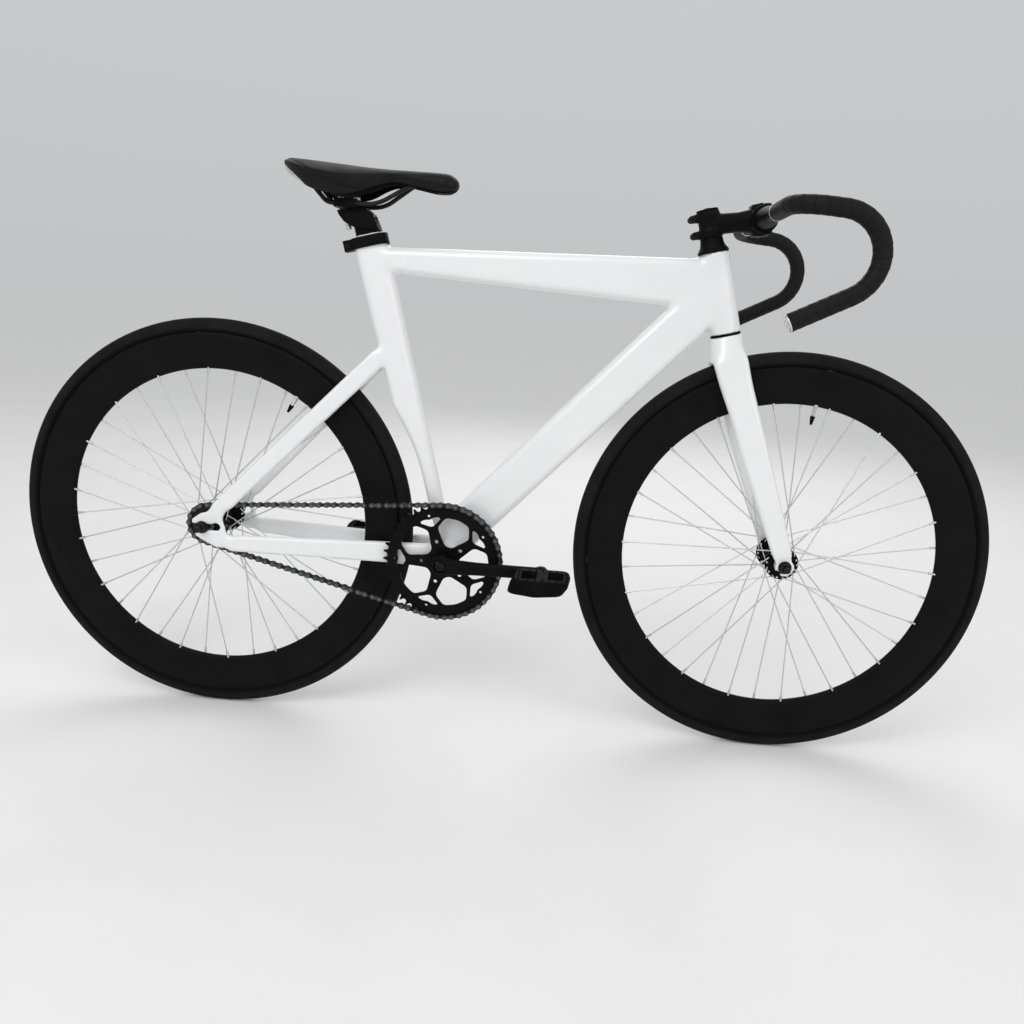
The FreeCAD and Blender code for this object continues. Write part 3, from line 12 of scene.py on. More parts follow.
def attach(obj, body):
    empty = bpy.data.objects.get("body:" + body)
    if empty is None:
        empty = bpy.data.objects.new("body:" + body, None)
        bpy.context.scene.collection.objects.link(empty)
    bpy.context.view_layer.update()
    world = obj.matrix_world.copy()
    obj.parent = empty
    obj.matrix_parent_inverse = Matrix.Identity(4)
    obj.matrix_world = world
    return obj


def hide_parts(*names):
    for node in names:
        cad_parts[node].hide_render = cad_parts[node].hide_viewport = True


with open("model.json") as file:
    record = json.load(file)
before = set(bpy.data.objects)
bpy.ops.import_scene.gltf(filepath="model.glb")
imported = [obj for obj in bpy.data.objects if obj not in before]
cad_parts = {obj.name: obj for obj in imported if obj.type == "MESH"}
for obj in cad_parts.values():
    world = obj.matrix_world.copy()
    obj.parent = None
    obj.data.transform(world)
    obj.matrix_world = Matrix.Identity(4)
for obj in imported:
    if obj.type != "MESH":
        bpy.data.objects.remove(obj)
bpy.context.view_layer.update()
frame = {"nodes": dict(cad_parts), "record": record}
slot_of_node = {row["node"]: row["material_slot"] for row in frame["record"]["subparts"]}

# Layout of the bike in millimetres, the same as in its solids.
MM = 0.001
FULL_TURN = 2 * math.pi
ACROSS = Vector((0, 1, 0))
UP = Vector((0, 0, 1))
AHEAD = Vector((1, 0, 0))
TYRE_RADIUS = 340.0
REAR_AXLE = Vector((-477.5, 0, TYRE_RADIUS))
FRONT_AXLE = Vector((477.5, 0, TYRE_RADIUS))
BRACKET = Vector((-77.8, 0, 303.0))


def leaning(degrees):
    """Directions up a tube that leans back, and ahead at right angles to it."""
    angle = math.radians(degrees)
    return Vector((-math.cos(angle), 0, math.sin(angle))), Vector((math.sin(angle), 0, math.cos(angle)))


HEAD_UP, HEAD_AHEAD = leaning(75.7)
SEAT_UP, SEAT_AHEAD = leaning(75.8)
FORK_RAKE, FORK_LENGTH = 30.0, 377.0
HEAD_LOW, HEAD_HIGH, HEAD_RADIUS = 381.0, 506.0, 24.0
STEM_LOW, STEM_HIGH = 529.0, 570.0
STEM_MIDDLE = (STEM_LOW + STEM_HIGH) / 2
STEER_FOOT = FRONT_AXLE - HEAD_AHEAD * FORK_RAKE
SEAT_FOOT = BRACKET - AHEAD * 12.0
SEAT_TUBE_LENGTH = 533.0
COLLAR_TOP = 535.0


def on_head(height, ahead=0.0, side=0.0):
    return STEER_FOOT + HEAD_UP * height + HEAD_AHEAD * ahead + ACROSS * side


def on_seat(height, ahead=0.0, side=0.0):
    return SEAT_FOOT + SEAT_UP * height + SEAT_AHEAD * ahead + ACROSS * side


def swung(first, second, angle):
    """First direction turned towards the second by an angle in radians."""
    return first * math.cos(angle) + second * math.sin(angle)


def wheel_direction(degrees):
    return swung(AHEAD, UP, math.radians(degrees))


# Nodes
def set_all(thing, settings):
    for key, value in settings.items():
        setattr(thing, key, value)


def feed(tree, node, inputs):
    """Links or sets the inputs of a node."""
    for key, value in inputs.items():
        if isinstance(value, bpy.types.NodeSocket):
            tree.links.new(value, node.inputs[key])
        else:
            node.inputs[key].default_value = value


def add_node(tree, kind, inputs=None, **settings):
    made = tree.nodes.new(kind)
    set_all(made, settings)
    feed(tree, made, inputs or {})
    return made


def output(tree, kind, inputs=None, out=0, **settings):
    """One output of a new node, the first if no other is asked for."""
    return add_node(tree, kind, inputs, **settings).outputs[out]


def math_node(tree, operation, *values):
    return output(tree, "ShaderNodeMath", dict(enumerate(values)), operation=operation)


# Finishes
def new_finish(name):
    """Material with its tree, its shader and the place on the object."""
    finish = bpy.data.materials.new(name)
    finish.use_nodes = True
    tree = finish.node_tree
    tree.nodes.clear()
    shader = add_node(tree, "ShaderNodeBsdfPrincipled")
    add_node(tree, "ShaderNodeOutputMaterial", {"Surface": shader.outputs["BSDF"]})
    return finish, tree, shader, output(tree, "ShaderNodeTexCoord", out="Object")


def noise(tree, vector, scale, detail=3.0):
    inputs = {"Vector": vector, "Scale": scale, "Detail": detail, "Roughness": 0.55}
    return output(tree, "ShaderNodeTexNoise", inputs, "Fac")


def ramp(tree, factor, low, high, start=0.3, end=0.7):
    """Colour that runs from low to high as the factor goes from start to end."""
    made = add_node(tree, "ShaderNodeValToRGB", {"Fac": factor})
    for element, position, colour in zip(made.color_ramp.elements, (start, end), (low, high)):
        element.position = position
        element.color = (*colour, 1.0)
    return made.outputs["Color"]


def spread(tree, factor, low, high, start=0.3, end=0.7):
    """Number that runs from low to high as the factor goes from start to end."""
    inputs = {"Value": factor, "From Min": start, "From Max": end, "To Min": low, "To Max": high}
    return output(tree, "ShaderNodeMapRange", inputs)


def bump(tree, height, strength, depth, **under):
    """Relief, laid over the Normal of another one if that is given."""
    inputs = {"Height": height, "Strength": strength, "Distance": depth, **under}
    return output(tree, "ShaderNodeBump", inputs)


def plain_finish(name, tone, gloss, grain, levels):
    """Finish whose colour and roughness drift over a fine relief.

    Tone holds two colours, gloss two roughnesses and grain a strength and a depth, each with the scale and
    detail of its noise.
    """
    finish, tree, shader, here = new_finish(name)
    feed(tree, shader, {"Base Color": ramp(tree, noise(tree, here, *tone[2:]), *tone[:2]),
                        "Roughness": spread(tree, noise(tree, here, *gloss[2:]), *gloss[:2]),
                        "Normal": bump(tree, noise(tree, here, *grain[2:]), *grain[:2]), **levels})
    return finish


def black_metal(name, low, high, smoothest, roughest, metallic, shine, grain):
    return plain_finish(name, ((low, low, low * 1.05), (high, high, high * 1.05), 25.0),
                        (smoothest, roughest, 90.0, 4.0), (0.12, 0.0002, grain),
                        {"Metallic": metallic, "Specular IOR Level": shine})


def bright_metal(name, tone, smoothest, roughest, grain):
    return plain_finish(name, ((tone * 0.9,) * 3, (tone,) * 3, 60.0), (smoothest, roughest, 150.0, 4.0),
                        (0.08, 0.0001, grain, 2.0), {"Metallic": 1.0})


def moulded_plastic(name, low, high, smoothest, roughest, shine=0.12):
    return plain_finish(name, ((low,) * 3, (high,) * 3, 35.0, 4.0), (smoothest, roughest, 160.0),
                        (0.22, 0.0003, 1100.0, 2.0), {"Specular IOR Level": shine})


def deep_rim_black():
    """Semi-gloss black with faint rings that the lathe leaves."""
    finish, tree, shader, here = new_finish("deep_rim_black")
    uv = output(tree, "ShaderNodeUVMap", uv_map="turned")
    lines = noise(tree, output(tree, "ShaderNodeMapping", {"Vector": uv, "Scale": (6.0, 260.0, 1.0)}), 1.0)
    tone = ramp(tree, noise(tree, here, 18.0), (0.003, 0.003, 0.0033), (0.005, 0.005, 0.0054))
    feed(tree, shader, {"Base Color": tone, "Roughness": spread(tree, lines, 0.40, 0.50),
                        "Normal": bump(tree, lines, 0.06, 0.0002), "Specular IOR Level": 0.08})
    return finish


def tyre_rubber():
    """Matt rubber: a hatched tread over the crown, fine rings down the sidewalls, a dusting of wear and
    painted shade that darkens the sidewalls towards the rim.
    """
    finish, tree, shader, here = new_finish("tyre_rubber")
    uv = output(tree, "ShaderNodeUVMap", uv_map="turned")
    parts = add_node(tree, "ShaderNodeSeparateXYZ", {"Vector": uv})
    over = parts.outputs["Y"]
    off_crown = math_node(tree, "ABSOLUTE", math_node(tree, "SUBTRACT", over, 0.5))
    slant = math_node(tree, "MULTIPLY", off_crown, 90.0)
    around = math_node(tree, "MULTIPLY", parts.outputs["X"], 2200.0)
    hatch = math_node(tree, "SINE", math_node(tree, "ADD", around, slant))
    on_tread = spread(tree, off_crown, 1.0, 0.0, 0.13, 0.17)
    off_line = spread(tree, off_crown, 0.0, 1.0, 0.02, 0.03)
    tread = math_node(tree, "MULTIPLY", math_node(tree, "MULTIPLY", hatch, on_tread), off_line)
    casing = math_node(tree, "SINE", math_node(tree, "MULTIPLY", over, 420.0))
    grain = noise(tree, here, 900.0)
    under = bump(tree, grain, 0.25, 0.0003)
    under = bump(tree, math_node(tree, "MULTIPLY", casing, 0.25), 0.25, 0.0003, Normal=under)
    dusty = ramp(tree, noise(tree, here, 30.0, 5.0), (0.005, 0.005, 0.005), (0.010, 0.0097, 0.0094))
    # Painted shade: the sidewalls near the rim are mixed to near black.
    rim_shade_mask = spread(tree, off_crown, 0.0, 1.0, 0.36, 0.42)
    colour_with_painted_shade = output(tree, "ShaderNodeMix", {"Factor": rim_shade_mask, 6: dusty, 7: (0.0015, 0.0015, 0.0015, 1.0)}, 2,
                    data_type="RGBA")
    feed(tree, shader, {"Base Color": colour_with_painted_shade, "Roughness": spread(tree, grain, 0.68, 0.82),
                        "Normal": bump(tree, tread, 0.5, 0.0005, Normal=under), "Specular IOR Level": 0.10})
    return finish


def saddle_leather():
    """Black leather with a pebbled grain and worn sheen."""
    finish, tree, shader, here = new_finish("saddle_leather")
    pebbles = output(tree, "ShaderNodeTexVoronoi", {"Vector": here, "Scale": 620.0}, "Distance",
                     feature="SMOOTH_F1")
    creases = bump(tree, noise(tree, here, 70.0, 4.0), 0.10, 0.0010, Normal=bump(tree, pebbles, 0.35, 0.0006))
    tone = ramp(tree, noise(tree, here, 28.0, 4.0), (0.003, 0.003, 0.0033), (0.006, 0.006, 0.0064))
    worn = spread(tree, noise(tree, here, 45.0, 4.0), 0.34, 0.48)
    feed(tree, shader, {"Base Color": tone, "Roughness": worn, "Normal": creases,
                        "Specular IOR Level": 0.16, "Sheen Weight": 0.02})
    return finish


def wound_bar_tape():
    """Soft black tape with painted shade in the overlaps of its turns, and a fine pressed grain."""
    finish, tree, shader, here = new_finish("wound_bar_tape")
    turn = output(tree, "ShaderNodeAttribute", out="Fac", attribute_name="overlap")
    pores = output(tree, "ShaderNodeTexVoronoi", {"Vector": here, "Scale": 520.0}, "Distance")
    pressed = bump(tree, noise(tree, here, 900.0), 0.2, 0.0003, Normal=bump(tree, pores, 0.25, 0.0005))
    # Painted shade: the tape goes darker where each turn laps over the one before.
    tone = ramp(tree, turn, (0.002, 0.002, 0.002), (0.008, 0.008, 0.0084), 0.02, 0.18)
    matt = spread(tree, noise(tree, here, 60.0, 4.0), 0.48, 0.62)
    feed(tree, shader, {"Base Color": tone, "Roughness": matt, "Normal": pressed,
                        "Specular IOR Level": 0.12})
    return finish


def gloss_white_paint():
    """Even white paint with a trace of orange peel under a clear coat."""
    return plain_finish("gloss_white_paint", ((0.79, 0.79, 0.80), (0.805, 0.805, 0.81), 2.0),
                        (0.28, 0.34, 40.0), (0.02, 0.0003, 300.0, 2.0),
                        {"Coat Weight": 0.5, "Coat Roughness": 0.14})


def pale_floor():
    finish, tree, shader, here = new_finish("pale_floor")
    tone = ramp(tree, noise(tree, here, 3.0), (0.83, 0.83, 0.82), (0.86, 0.86, 0.85))
    feed(tree, shader, {"Base Color": tone, "Roughness": 0.75})
    return finish


white_paint = gloss_white_paint()
black_steel = black_metal("black_steel", 0.010, 0.018, 0.36, 0.50, 0.4, 0.2, 500.0)
chain_dark = black_metal("oiled_inner_links", 0.010, 0.022, 0.34, 0.50, 0.6, 0.2, 400.0)
chain_steel = black_metal("oiled_outer_links", 0.045, 0.085, 0.32, 0.48, 0.8, 0.4, 400.0)
rivet_steel = bright_metal("rivet_steel", 0.17, 0.34, 0.46, 600.0)
tube_black = moulded_plastic("inner_tube_rubber", 0.010, 0.016, 0.60, 0.75)
leather = saddle_leather()
grey_trim = moulded_plastic("grey_saddle_trim", 0.42, 0.55, 0.28, 0.40)
tape_black = wound_bar_tape()

finish_of_slot = {
    "frame_paint": white_paint,
    "black_alloy": black_metal("black_anodised_alloy", 0.003, 0.005, 0.40, 0.50, 0.0, 0.06, 700.0),
    "rim_black": deep_rim_black(),
    "bright_steel": bright_metal("bright_steel", 0.66, 0.34, 0.46, 600.0),
    "black_steel": black_steel,
    "tyre_rubber": tyre_rubber(),
    "tube_rubber": tube_black,
    "saddle_leather": leather,
    "black_plastic": moulded_plastic("moulded_black_plastic", 0.003, 0.007, 0.46, 0.60, 0.03),
    "bar_wrap": tape_black,
    "plug_chrome": bright_metal("plug_chrome", 0.70, 0.24, 0.34, 500.0),
}


# Making pieces
def in_scene(name, data):
    piece = bpy.data.objects.new(name, data)
    bpy.context.scene.collection.objects.link(piece)
    return piece


def plain_mesh(name, points, edges=(), faces=()):
    mesh = bpy.data.meshes.new(name)
    mesh.from_pydata(points, edges, faces)
    return mesh


def opened(mesh, joined=0.0):
    """Mesh opened for editing, with points nearer than the given metres joined."""
    work = bmesh.new()
    work.from_mesh(mesh)
    if joined:
        bmesh.ops.remove_doubles(work, verts=work.verts, dist=joined)
    return work


def closed(work, mesh):
    work.to_mesh(mesh)
    work.free()
    return mesh


def flattened(work, degrees):
    """Takes out edges and points between faces that lie flat to within the angle."""
    bmesh.ops.dissolve_limit(work, angle_limit=math.radians(degrees), verts=work.verts, edges=work.edges)


def outward(mesh):
    work = opened(mesh)
    bmesh.ops.recalc_face_normals(work, faces=work.faces)
    closed(work, mesh)


def smooth(mesh, angle):
    mesh.shade_smooth()
    if angle < 180.0:
        mesh.set_sharp_from_angle(angle=math.radians(angle))


def coat(piece, finish, angle):
    """One finish over the whole piece, with crisp edges above the angle."""
    piece.data.materials.clear()
    piece.data.materials.append(finish)
    smooth(piece.data, angle)


def mesh_piece(name, points, faces, finishes, angle=180.0, uv=(), face_finish=()):
    """Mesh object from points in millimetres, at the origin, with an optional UV for each face corner."""
    mesh = plain_mesh(name, [Vector(point) * MM for point in points], faces=faces)
    for finish in finishes:
        mesh.materials.append(finish)
    if uv:
        layer = mesh.uv_layers.new(name="turned")
        for polygon, corners in zip(mesh.polygons, uv):
            for loop, corner in zip(polygon.loop_indices, corners):
                layer.data[loop].uv = corner
    for polygon, index in zip(mesh.polygons, face_finish):
        polygon.material_index = index
    mesh.validate()
    outward(mesh)
    smooth(mesh, angle)
    return in_scene(name, mesh)


def fresh_mesh(piece):
    """Plain mesh of a piece or a curve as its modifiers leave it."""
    bpy.context.view_layer.update()
    graph = bpy.context.evaluated_depsgraph_get()
    return bpy.data.meshes.new_from_object(piece.evaluated_get(graph), preserve_all_data_layers=True,
                                           depsgraph=graph)


def applied(piece):
    """Turns a piece's modifiers into its plain mesh."""
    made = fresh_mesh(piece)
    piece.modifiers.clear()
    piece.data = made
    made.name = piece.name


def modify(piece, kind, **settings):
    set_all(piece.modifiers.new(kind.lower(), kind), settings)


def edge_rounded(piece, width, segments, angle):
    modify(piece, "BEVEL", width=width * MM, segments=segments, limit_method="ANGLE",
           angle_limit=math.radians(angle))
    applied(piece)


def dress(piece, body, slot, *nodes):
    """Lets a piece ride on a body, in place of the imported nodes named."""
    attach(piece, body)
    if nodes:
        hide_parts(*nodes)


def quads(rings, count, ringed=False):
    """Faces between neighbouring rings of equal length, and from the last to the first if they run round."""
    faces = []
    for ring in range(rings if ringed else rings - 1):
        here, there = ring * count, (ring + 1) % rings * count
        for index in range(count):
            after = (index + 1) % count
            faces.append((here + index, here + after, there + after, there + index))
    return faces


def lofted(sections):
    """Points and faces of a closed solid through rings of equal length, flat at both ends."""
    count, rings = len(sections[0]), len(sections)
    ends = [tuple(reversed(range(count))), tuple(range((rings - 1) * count, rings * count))]
    return [point for section in sections for point in section], quads(rings, count) + ends


CORNER_STEPS = 7


def rounded_section(centre, wide, deep, width, depth, corner):
    radius = min(corner, width * 0.48, depth * 0.48)
    points = []
    for turn, (wide_sign, deep_sign) in enumerate(((1, 1), (-1, 1), (-1, -1), (1, -1))):
        middle = (centre + wide * (wide_sign * (width / 2 - radius))
                  + deep * (deep_sign * (depth / 2 - radius)))
        points += [middle + swung(wide, deep, (turn + step / CORNER_STEPS) * math.pi / 2) * radius
                   for step in range(CORNER_STEPS + 1)]
    return points


def tube(stations, wide, deep, corner):
    """Solid through rounded sections, each given as (centre, width, depth)."""
    return lofted([rounded_section(centre, wide, deep, width, depth, corner)
                   for centre, width, depth in stations])


def eased(profile, radius, steps=3):
    """Closed outline with each corner rounded by up to the given radius."""
    made = []
    for index, corner in enumerate(profile):
        here = Vector(corner)
        before = Vector(profile[index - 1]) - here
        after = Vector(profile[(index + 1) % len(profile)]) - here
        reach = min(radius, 0.45 * before.length, 0.45 * after.length)
        first = here + before.normalized() * reach
        last = here + after.normalized() * reach
        for step in range(steps + 1):
            share = step / steps
            made.append(first * (1 - share) ** 2 + here * (2 * share * (1 - share)) + last * share ** 2)
    return made


def turned(centre, profile, steps, axis, radial):
    """Points, faces and UVs of a closed outline of (along the axis, radius) turned about the axis."""
    aside = axis.cross(radial)
    count = len(profile)
    points, uv = [], []
    for step in range(steps):
        out = swung(radial, aside, FULL_TURN * step / steps)
        points += [centre + axis * along + out * radius for along, radius in profile]
        left, right = step / steps, (step + 1) / steps
        for index in range(count):
            low, high = index / count, (index + 1) / count
            uv.append(((left, low), (left, high), (right, high), (right, low)))
    return points, quads(steps, count, True), uv


def turned_piece(name, centre, profile, body, slot, *nodes, steps=96, ease=0.0, axis=ACROSS, radial=UP,
                 angle=50.0):
    """Turned piece in the finish of its slot, with the outline's corners eased."""
    points, faces, uv = turned(centre, eased(profile, ease) if ease else profile, steps, axis, radial)
    dress(mesh_piece(name, points, faces, [finish_of_slot[slot]], angle, uv), body, slot, *nodes)


def gathered(parts):
    """Several (points, faces) as one list of points and one of faces."""
    points, faces = [], []
    for some_points, some_faces in parts:
        start = len(points)
        points += list(some_points)
        faces += [tuple(start + corner for corner in face) for face in some_faces]
    return points, faces


def node_solid(node):
    """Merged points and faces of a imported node, in millimetres."""
    work = opened(frame["nodes"][node].data, 0.00001)
    work.verts.index_update()
    points = [vert.co / MM for vert in work.verts]
    faces = [tuple(vert.index for vert in face.verts) for face in work.faces]
    work.free()
    return points, faces


# Welded skins of the frame and the fork
def welded(name, solids, body, slot, *nodes, voxel, reach, passes):
    """One skin round overlapping solids, with fillets where they meet."""
    piece = mesh_piece(name, *gathered(solids), [])
    modify(piece, "REMESH", mode="VOXEL", voxel_size=voxel * MM)
    applied(piece)
    keep_largest(piece.data)
    fillet(piece.data, solids, reach, passes)
    coat(piece, finish_of_slot[slot], 180.0)
    dress(piece, body, slot, *nodes)


def keep_largest(mesh):
    """Drops all but the largest connected part of a mesh."""
    work = opened(mesh)
    left = set(work.verts)
    islands = []
    while left:
        start = left.pop()
        island = {start}
        front = [start]
        while front:
            vert = front.pop()
            for edge in vert.link_edges:
                other = edge.other_vert(vert)
                if other in left:
                    left.discard(other)
                    island.add(other)
                    front.append(other)
        islands.append(island)
    islands.sort(key=len)
    for island in islands[:-1]:
        bmesh.ops.delete(work, geom=list(island), context="VERTS")
    closed(work, mesh)


def fillet(mesh, solids, reach, passes):
    """Smooths the skin near the lines where two solids meet."""
    count = len(mesh.vertices)
    flat = np.empty(count * 3)
    mesh.vertices.foreach_get("co", flat)
    places = flat.reshape(-1, 3)
    limit = reach * MM
    gaps = np.full((len(solids), count), limit)
    for row, (points, faces) in enumerate(solids):
        corners = [Vector(point) * MM for point in points]
        tree = BVHTree.FromPolygons(corners, faces)
        low = np.min(np.array(corners), axis=0) - limit
        high = np.max(np.array(corners), axis=0) + limit
        for index in np.flatnonzero(np.all((places > low) & (places < high), axis=1)):
            gap = tree.find_nearest(places[index], limit)[3]
            if gap is not None:
                gaps[row, index] = gap
    nearness = 1 - np.partition(gaps, 1, axis=0)[1] / limit
    weight = (nearness * nearness * (3 - 2 * nearness))[:, None] * 0.5
    ends = np.empty(len(mesh.edges) * 2, dtype=np.int64)
    mesh.edges.foreach_get("vertices", ends)
    first, second = ends.reshape(-1, 2).T
    valence = (np.bincount(first, minlength=count) + np.bincount(second, minlength=count))[:, None]
    for _ in range(passes):
        total = np.stack([np.bincount(first, places[second, axis], count)
                          + np.bincount(second, places[first, axis], count) for axis in range(3)], axis=1)
        places += (total / valence - places) * weight
    mesh.vertices.foreach_set("co", places.reshape(-1))
    mesh.update()


def mirrored(solid):
    points, faces = solid
    flipped = [tuple(reversed(face)) for face in faces]
    return [Vector((point.x, -point.y, point.z)) for point in points], flipped


def rod(start, end, radius, steps=64):
    along = (end - start).normalized()
    aside = along.orthogonal().normalized()
    beside = along.cross(aside)
    ring = [swung(aside, beside, FULL_TURN * step / steps) * radius for step in range(steps)]
    return lofted([[start + point for point in ring], [end + point for point in ring]])


def through(knots, values, at):
    """Value at a place on a smooth line through the knots, which rise."""
    last = len(knots) - 1
    index = next((i for i in range(last) if at <= knots[i + 1]), last - 1)

    def slope(i):
        low, high = max(i - 1, 0), min(i + 1, last)
        return (values[high] - values[low]) / (knots[high] - knots[low])

    span = knots[index + 1] - knots[index]
    share = (at - knots[index]) / span
    rise = 3 * share ** 2 - 2 * share ** 3
    return (values[index] * (1 - rise) + values[index + 1] * rise
            + span * (share * (1 - share) ** 2 * slope(index) - share ** 2 * (1 - share) * slope(index + 1)))


SEAT_TUBE_FRONT, SEAT_TUBE_WIDTH, SEAT_TUBE_CORNER = 26.6, 32.0, 14.0
SEAT_TUBE_FOOT_DEPTH, SEAT_TUBE_TOP_DEPTH, SEAT_TUBE_LEAST_DEPTH = 46.0, 53.0, 22.0
SEAT_TUBE_SHARES = (1.0, 0.72, 0.50, 0.47, 0.44, 0.41, 0.38, 0.35, 0.32, 0.29, 0.26, 0.23, 0.0)
TYRE_GAP = 28.0
TUBE_CORNER = 13.0
DOWN_TUBE_WIDTH, DOWN_TUBE_DEPTH, DOWN_TUBE_SLANT = 42.0, 68.0, 0.6
SHELL_HALF, SHELL_RADIUS = 34.0, 24.0
STAY_SIDE, STAY_CORNER = 63.0, 5.5
CHAIN_STAY_REAR, CHAIN_STAY_WAIST = 36.0, 300.0


def seat_tube_solid():
    """Aero seat tube, drawn in where the rear tyre passes behind it."""
    stations = []
    depth = SEAT_TUBE_TOP_DEPTH
    clear = TYRE_RADIUS + TYRE_GAP
    for share in SEAT_TUBE_SHARES:
        height = share * SEAT_TUBE_LENGTH
        front = on_seat(height, SEAT_TUBE_FRONT) - REAR_AXLE
        along = front.dot(SEAT_AHEAD)
        beside = front.dot(front) - along ** 2
        wanted = SEAT_TUBE_FOOT_DEPTH + (SEAT_TUBE_TOP_DEPTH - SEAT_TUBE_FOOT_DEPTH) * share
        if beside < clear ** 2:
            wanted = min(wanted, along - math.sqrt(clear ** 2 - beside))
        depth = min(depth, max(wanted, SEAT_TUBE_LEAST_DEPTH))
        stations.append((on_seat(height, SEAT_TUBE_FRONT - depth / 2), SEAT_TUBE_WIDTH, depth))
    return tube(stations, ACROSS, SEAT_AHEAD, SEAT_TUBE_CORNER)


def top_tube_solid():
    rear, front = on_seat(SEAT_TUBE_LENGTH - 33.0), on_head(HEAD_HIGH - 50.0)
    return tube(((rear, 34.0, 37.0), (front, 40.0, 79.0)), ACROSS, UP, TUBE_CORNER)


def down_tube_solid():
    """Deep down tube whose foot is slanted, so that it ends inside the seat tube and the bracket shell."""
    front = on_head(HEAD_HIGH - 57.0)
    slope = (front - BRACKET).normalized()
    rear = BRACKET + Vector((-slope.z, 0, slope.x)) * 15.0
    along = (front - rear).normalized()
    deep = Vector((-along.z, 0, along.x))
    return lofted([rounded_section(centre, ACROSS, way, DOWN_TUBE_WIDTH, DOWN_TUBE_DEPTH, TUBE_CORNER)
                   for centre, way in ((rear + along * 8.0, deep + along * DOWN_TUBE_SLANT),
                                       (front - along * 15.0, deep))])


def stay_solids():
    """Left chain stay and left seat stay."""
    low_rear = REAR_AXLE + Vector((CHAIN_STAY_REAR, STAY_SIDE, -25.0))
    low_front = BRACKET + Vector((-9.0, 25.0, 4.0))
    share = (CHAIN_STAY_WAIST - CHAIN_STAY_REAR) / (low_front.x - low_rear.x)
    waist = Vector((REAR_AXLE.x + CHAIN_STAY_WAIST, 29.0, low_rear.z + (low_front.z - low_rear.z) * share))
    low = tube(((low_rear, 13.0, 27.0), (waist, 13.0, 36.0), (low_front, 15.0, 42.0)), ACROSS, UP,
               STAY_CORNER)
    high_rear = REAR_AXLE + Vector((18.0, STAY_SIDE, 22.0))
    high_front = on_seat(0.665 * SEAT_TUBE_LENGTH, -10.0, 11.0)
    run = high_front - high_rear
    along = Vector((run.x, 0, run.z)).normalized()
    deep = Vector((-along.z, 0, along.x))
    high = tube(((high_rear, 12.0, 27.0), (high_front, 12.0, 30.0)), ACROSS, deep, STAY_CORNER)
    return low, high


def make_frame_skin():
    low, high = stay_solids()
    head = rod(on_head(HEAD_LOW), on_head(HEAD_HIGH), HEAD_RADIUS)
    shell = rod(BRACKET - ACROSS * SHELL_HALF, BRACKET + ACROSS * SHELL_HALF, SHELL_RADIUS)
    solids = [head, top_tube_solid(), down_tube_solid(), seat_tube_solid(), shell, low, mirrored(low), high,
              mirrored(high), node_solid("rear_dropouts")]
    welded("frame_skin", solids, "frame", "frame_paint", "head_tube", "top_tube", "down_tube", "seat_tube",
           "bottom_bracket_shell", "chain_stays", "seat_stays", "rear_dropouts", voxel=2.3, reach=15.0,
           passes=60)


BLADE_HEIGHT_SHARES = (0.04, 0.27, 0.51, 0.66, 0.80, 0.8992)
BLADE_AHEAD_SHARES = (1.0, 0.70, 0.37, 0.20, 0.0, -0.08)
BLADE_DEPTH_SHARES = (0.57, 0.69, 0.81, 0.85, 0.93, 1.0)
BLADE_THICKNESS_SHARES = (0.55, 0.74, 0.84, 0.90, 0.95, 1.0)
BLADE_STEPS = 32
BLADE_LOW_SIDE, BLADE_HIGH_SIDE = 53.0, 29.0
BLADE_DEPTH, BLADE_THICKNESS, BLADE_CORNER = 54.0, 19.0, 9.0
FORK_END_RADIUS = 15.0
FORK_END_INNER, FORK_END_OUTER = 50.0, 56.0
FORK_MOUTH_HALF = 4.8
FORK_MOUTH_ANGLE = math.radians(-132.0)


def blade_solid():
    first, last = BLADE_HEIGHT_SHARES[0], BLADE_HEIGHT_SHARES[-1]
    stations = []
    for step in range(BLADE_STEPS + 1):
        height = first + (last - first) * step / BLADE_STEPS
        side = BLADE_LOW_SIDE + (BLADE_HIGH_SIDE - BLADE_LOW_SIDE) * step / BLADE_STEPS
        ahead = through(BLADE_HEIGHT_SHARES, BLADE_AHEAD_SHARES, height) * FORK_RAKE
        depth = through(BLADE_HEIGHT_SHARES, BLADE_DEPTH_SHARES, height) * BLADE_DEPTH
        thickness = through(BLADE_HEIGHT_SHARES, BLADE_THICKNESS_SHARES, height) * BLADE_THICKNESS
        stations.append((on_head(height * FORK_LENGTH, ahead, side), thickness, depth))
    return tube(stations, ACROSS, HEAD_AHEAD, BLADE_CORNER)


def fork_end_solids():
    """Left fork end: a round eye with an open mouth below and behind, and the neck up to the blade."""
    spare = math.asin(FORK_MOUTH_HALF / FORK_END_RADIUS)
    outline = [wheel_direction(math.degrees(FORK_MOUTH_ANGLE + spare + (FULL_TURN - 2 * spare) * step / 40))
               * FORK_END_RADIUS for step in range(41)]
    outline += [wheel_direction(math.degrees(FORK_MOUTH_ANGLE - math.pi / 2 - math.pi * step / 16))
                * FORK_MOUTH_HALF for step in range(17)]
    eye = lofted([[FRONT_AXLE + ACROSS * side + point for point in outline]
                  for side in (FORK_END_INNER, FORK_END_OUTER)])
    middle = FRONT_AXLE + ACROSS * ((FORK_END_INNER + FORK_END_OUTER) / 2)
    neck = tube(((middle + HEAD_UP * 6.5, 6.0, 27.0), (middle + HEAD_UP * 24.0, 9.0, 27.0)), ACROSS,
                HEAD_AHEAD, 3.0)
    return [eye, neck]


def shoulder_solid():
    """Left shoulder of the crown, spreading from under the head tube to the top of the blade."""
    return tube(((on_head(339.0, -2.4, BLADE_HIGH_SIDE), BLADE_THICKNESS, BLADE_DEPTH),
                 (on_head(374.0, 0.0, 10.0), 16.0, 34.0)), ACROSS, HEAD_AHEAD, 8.0)


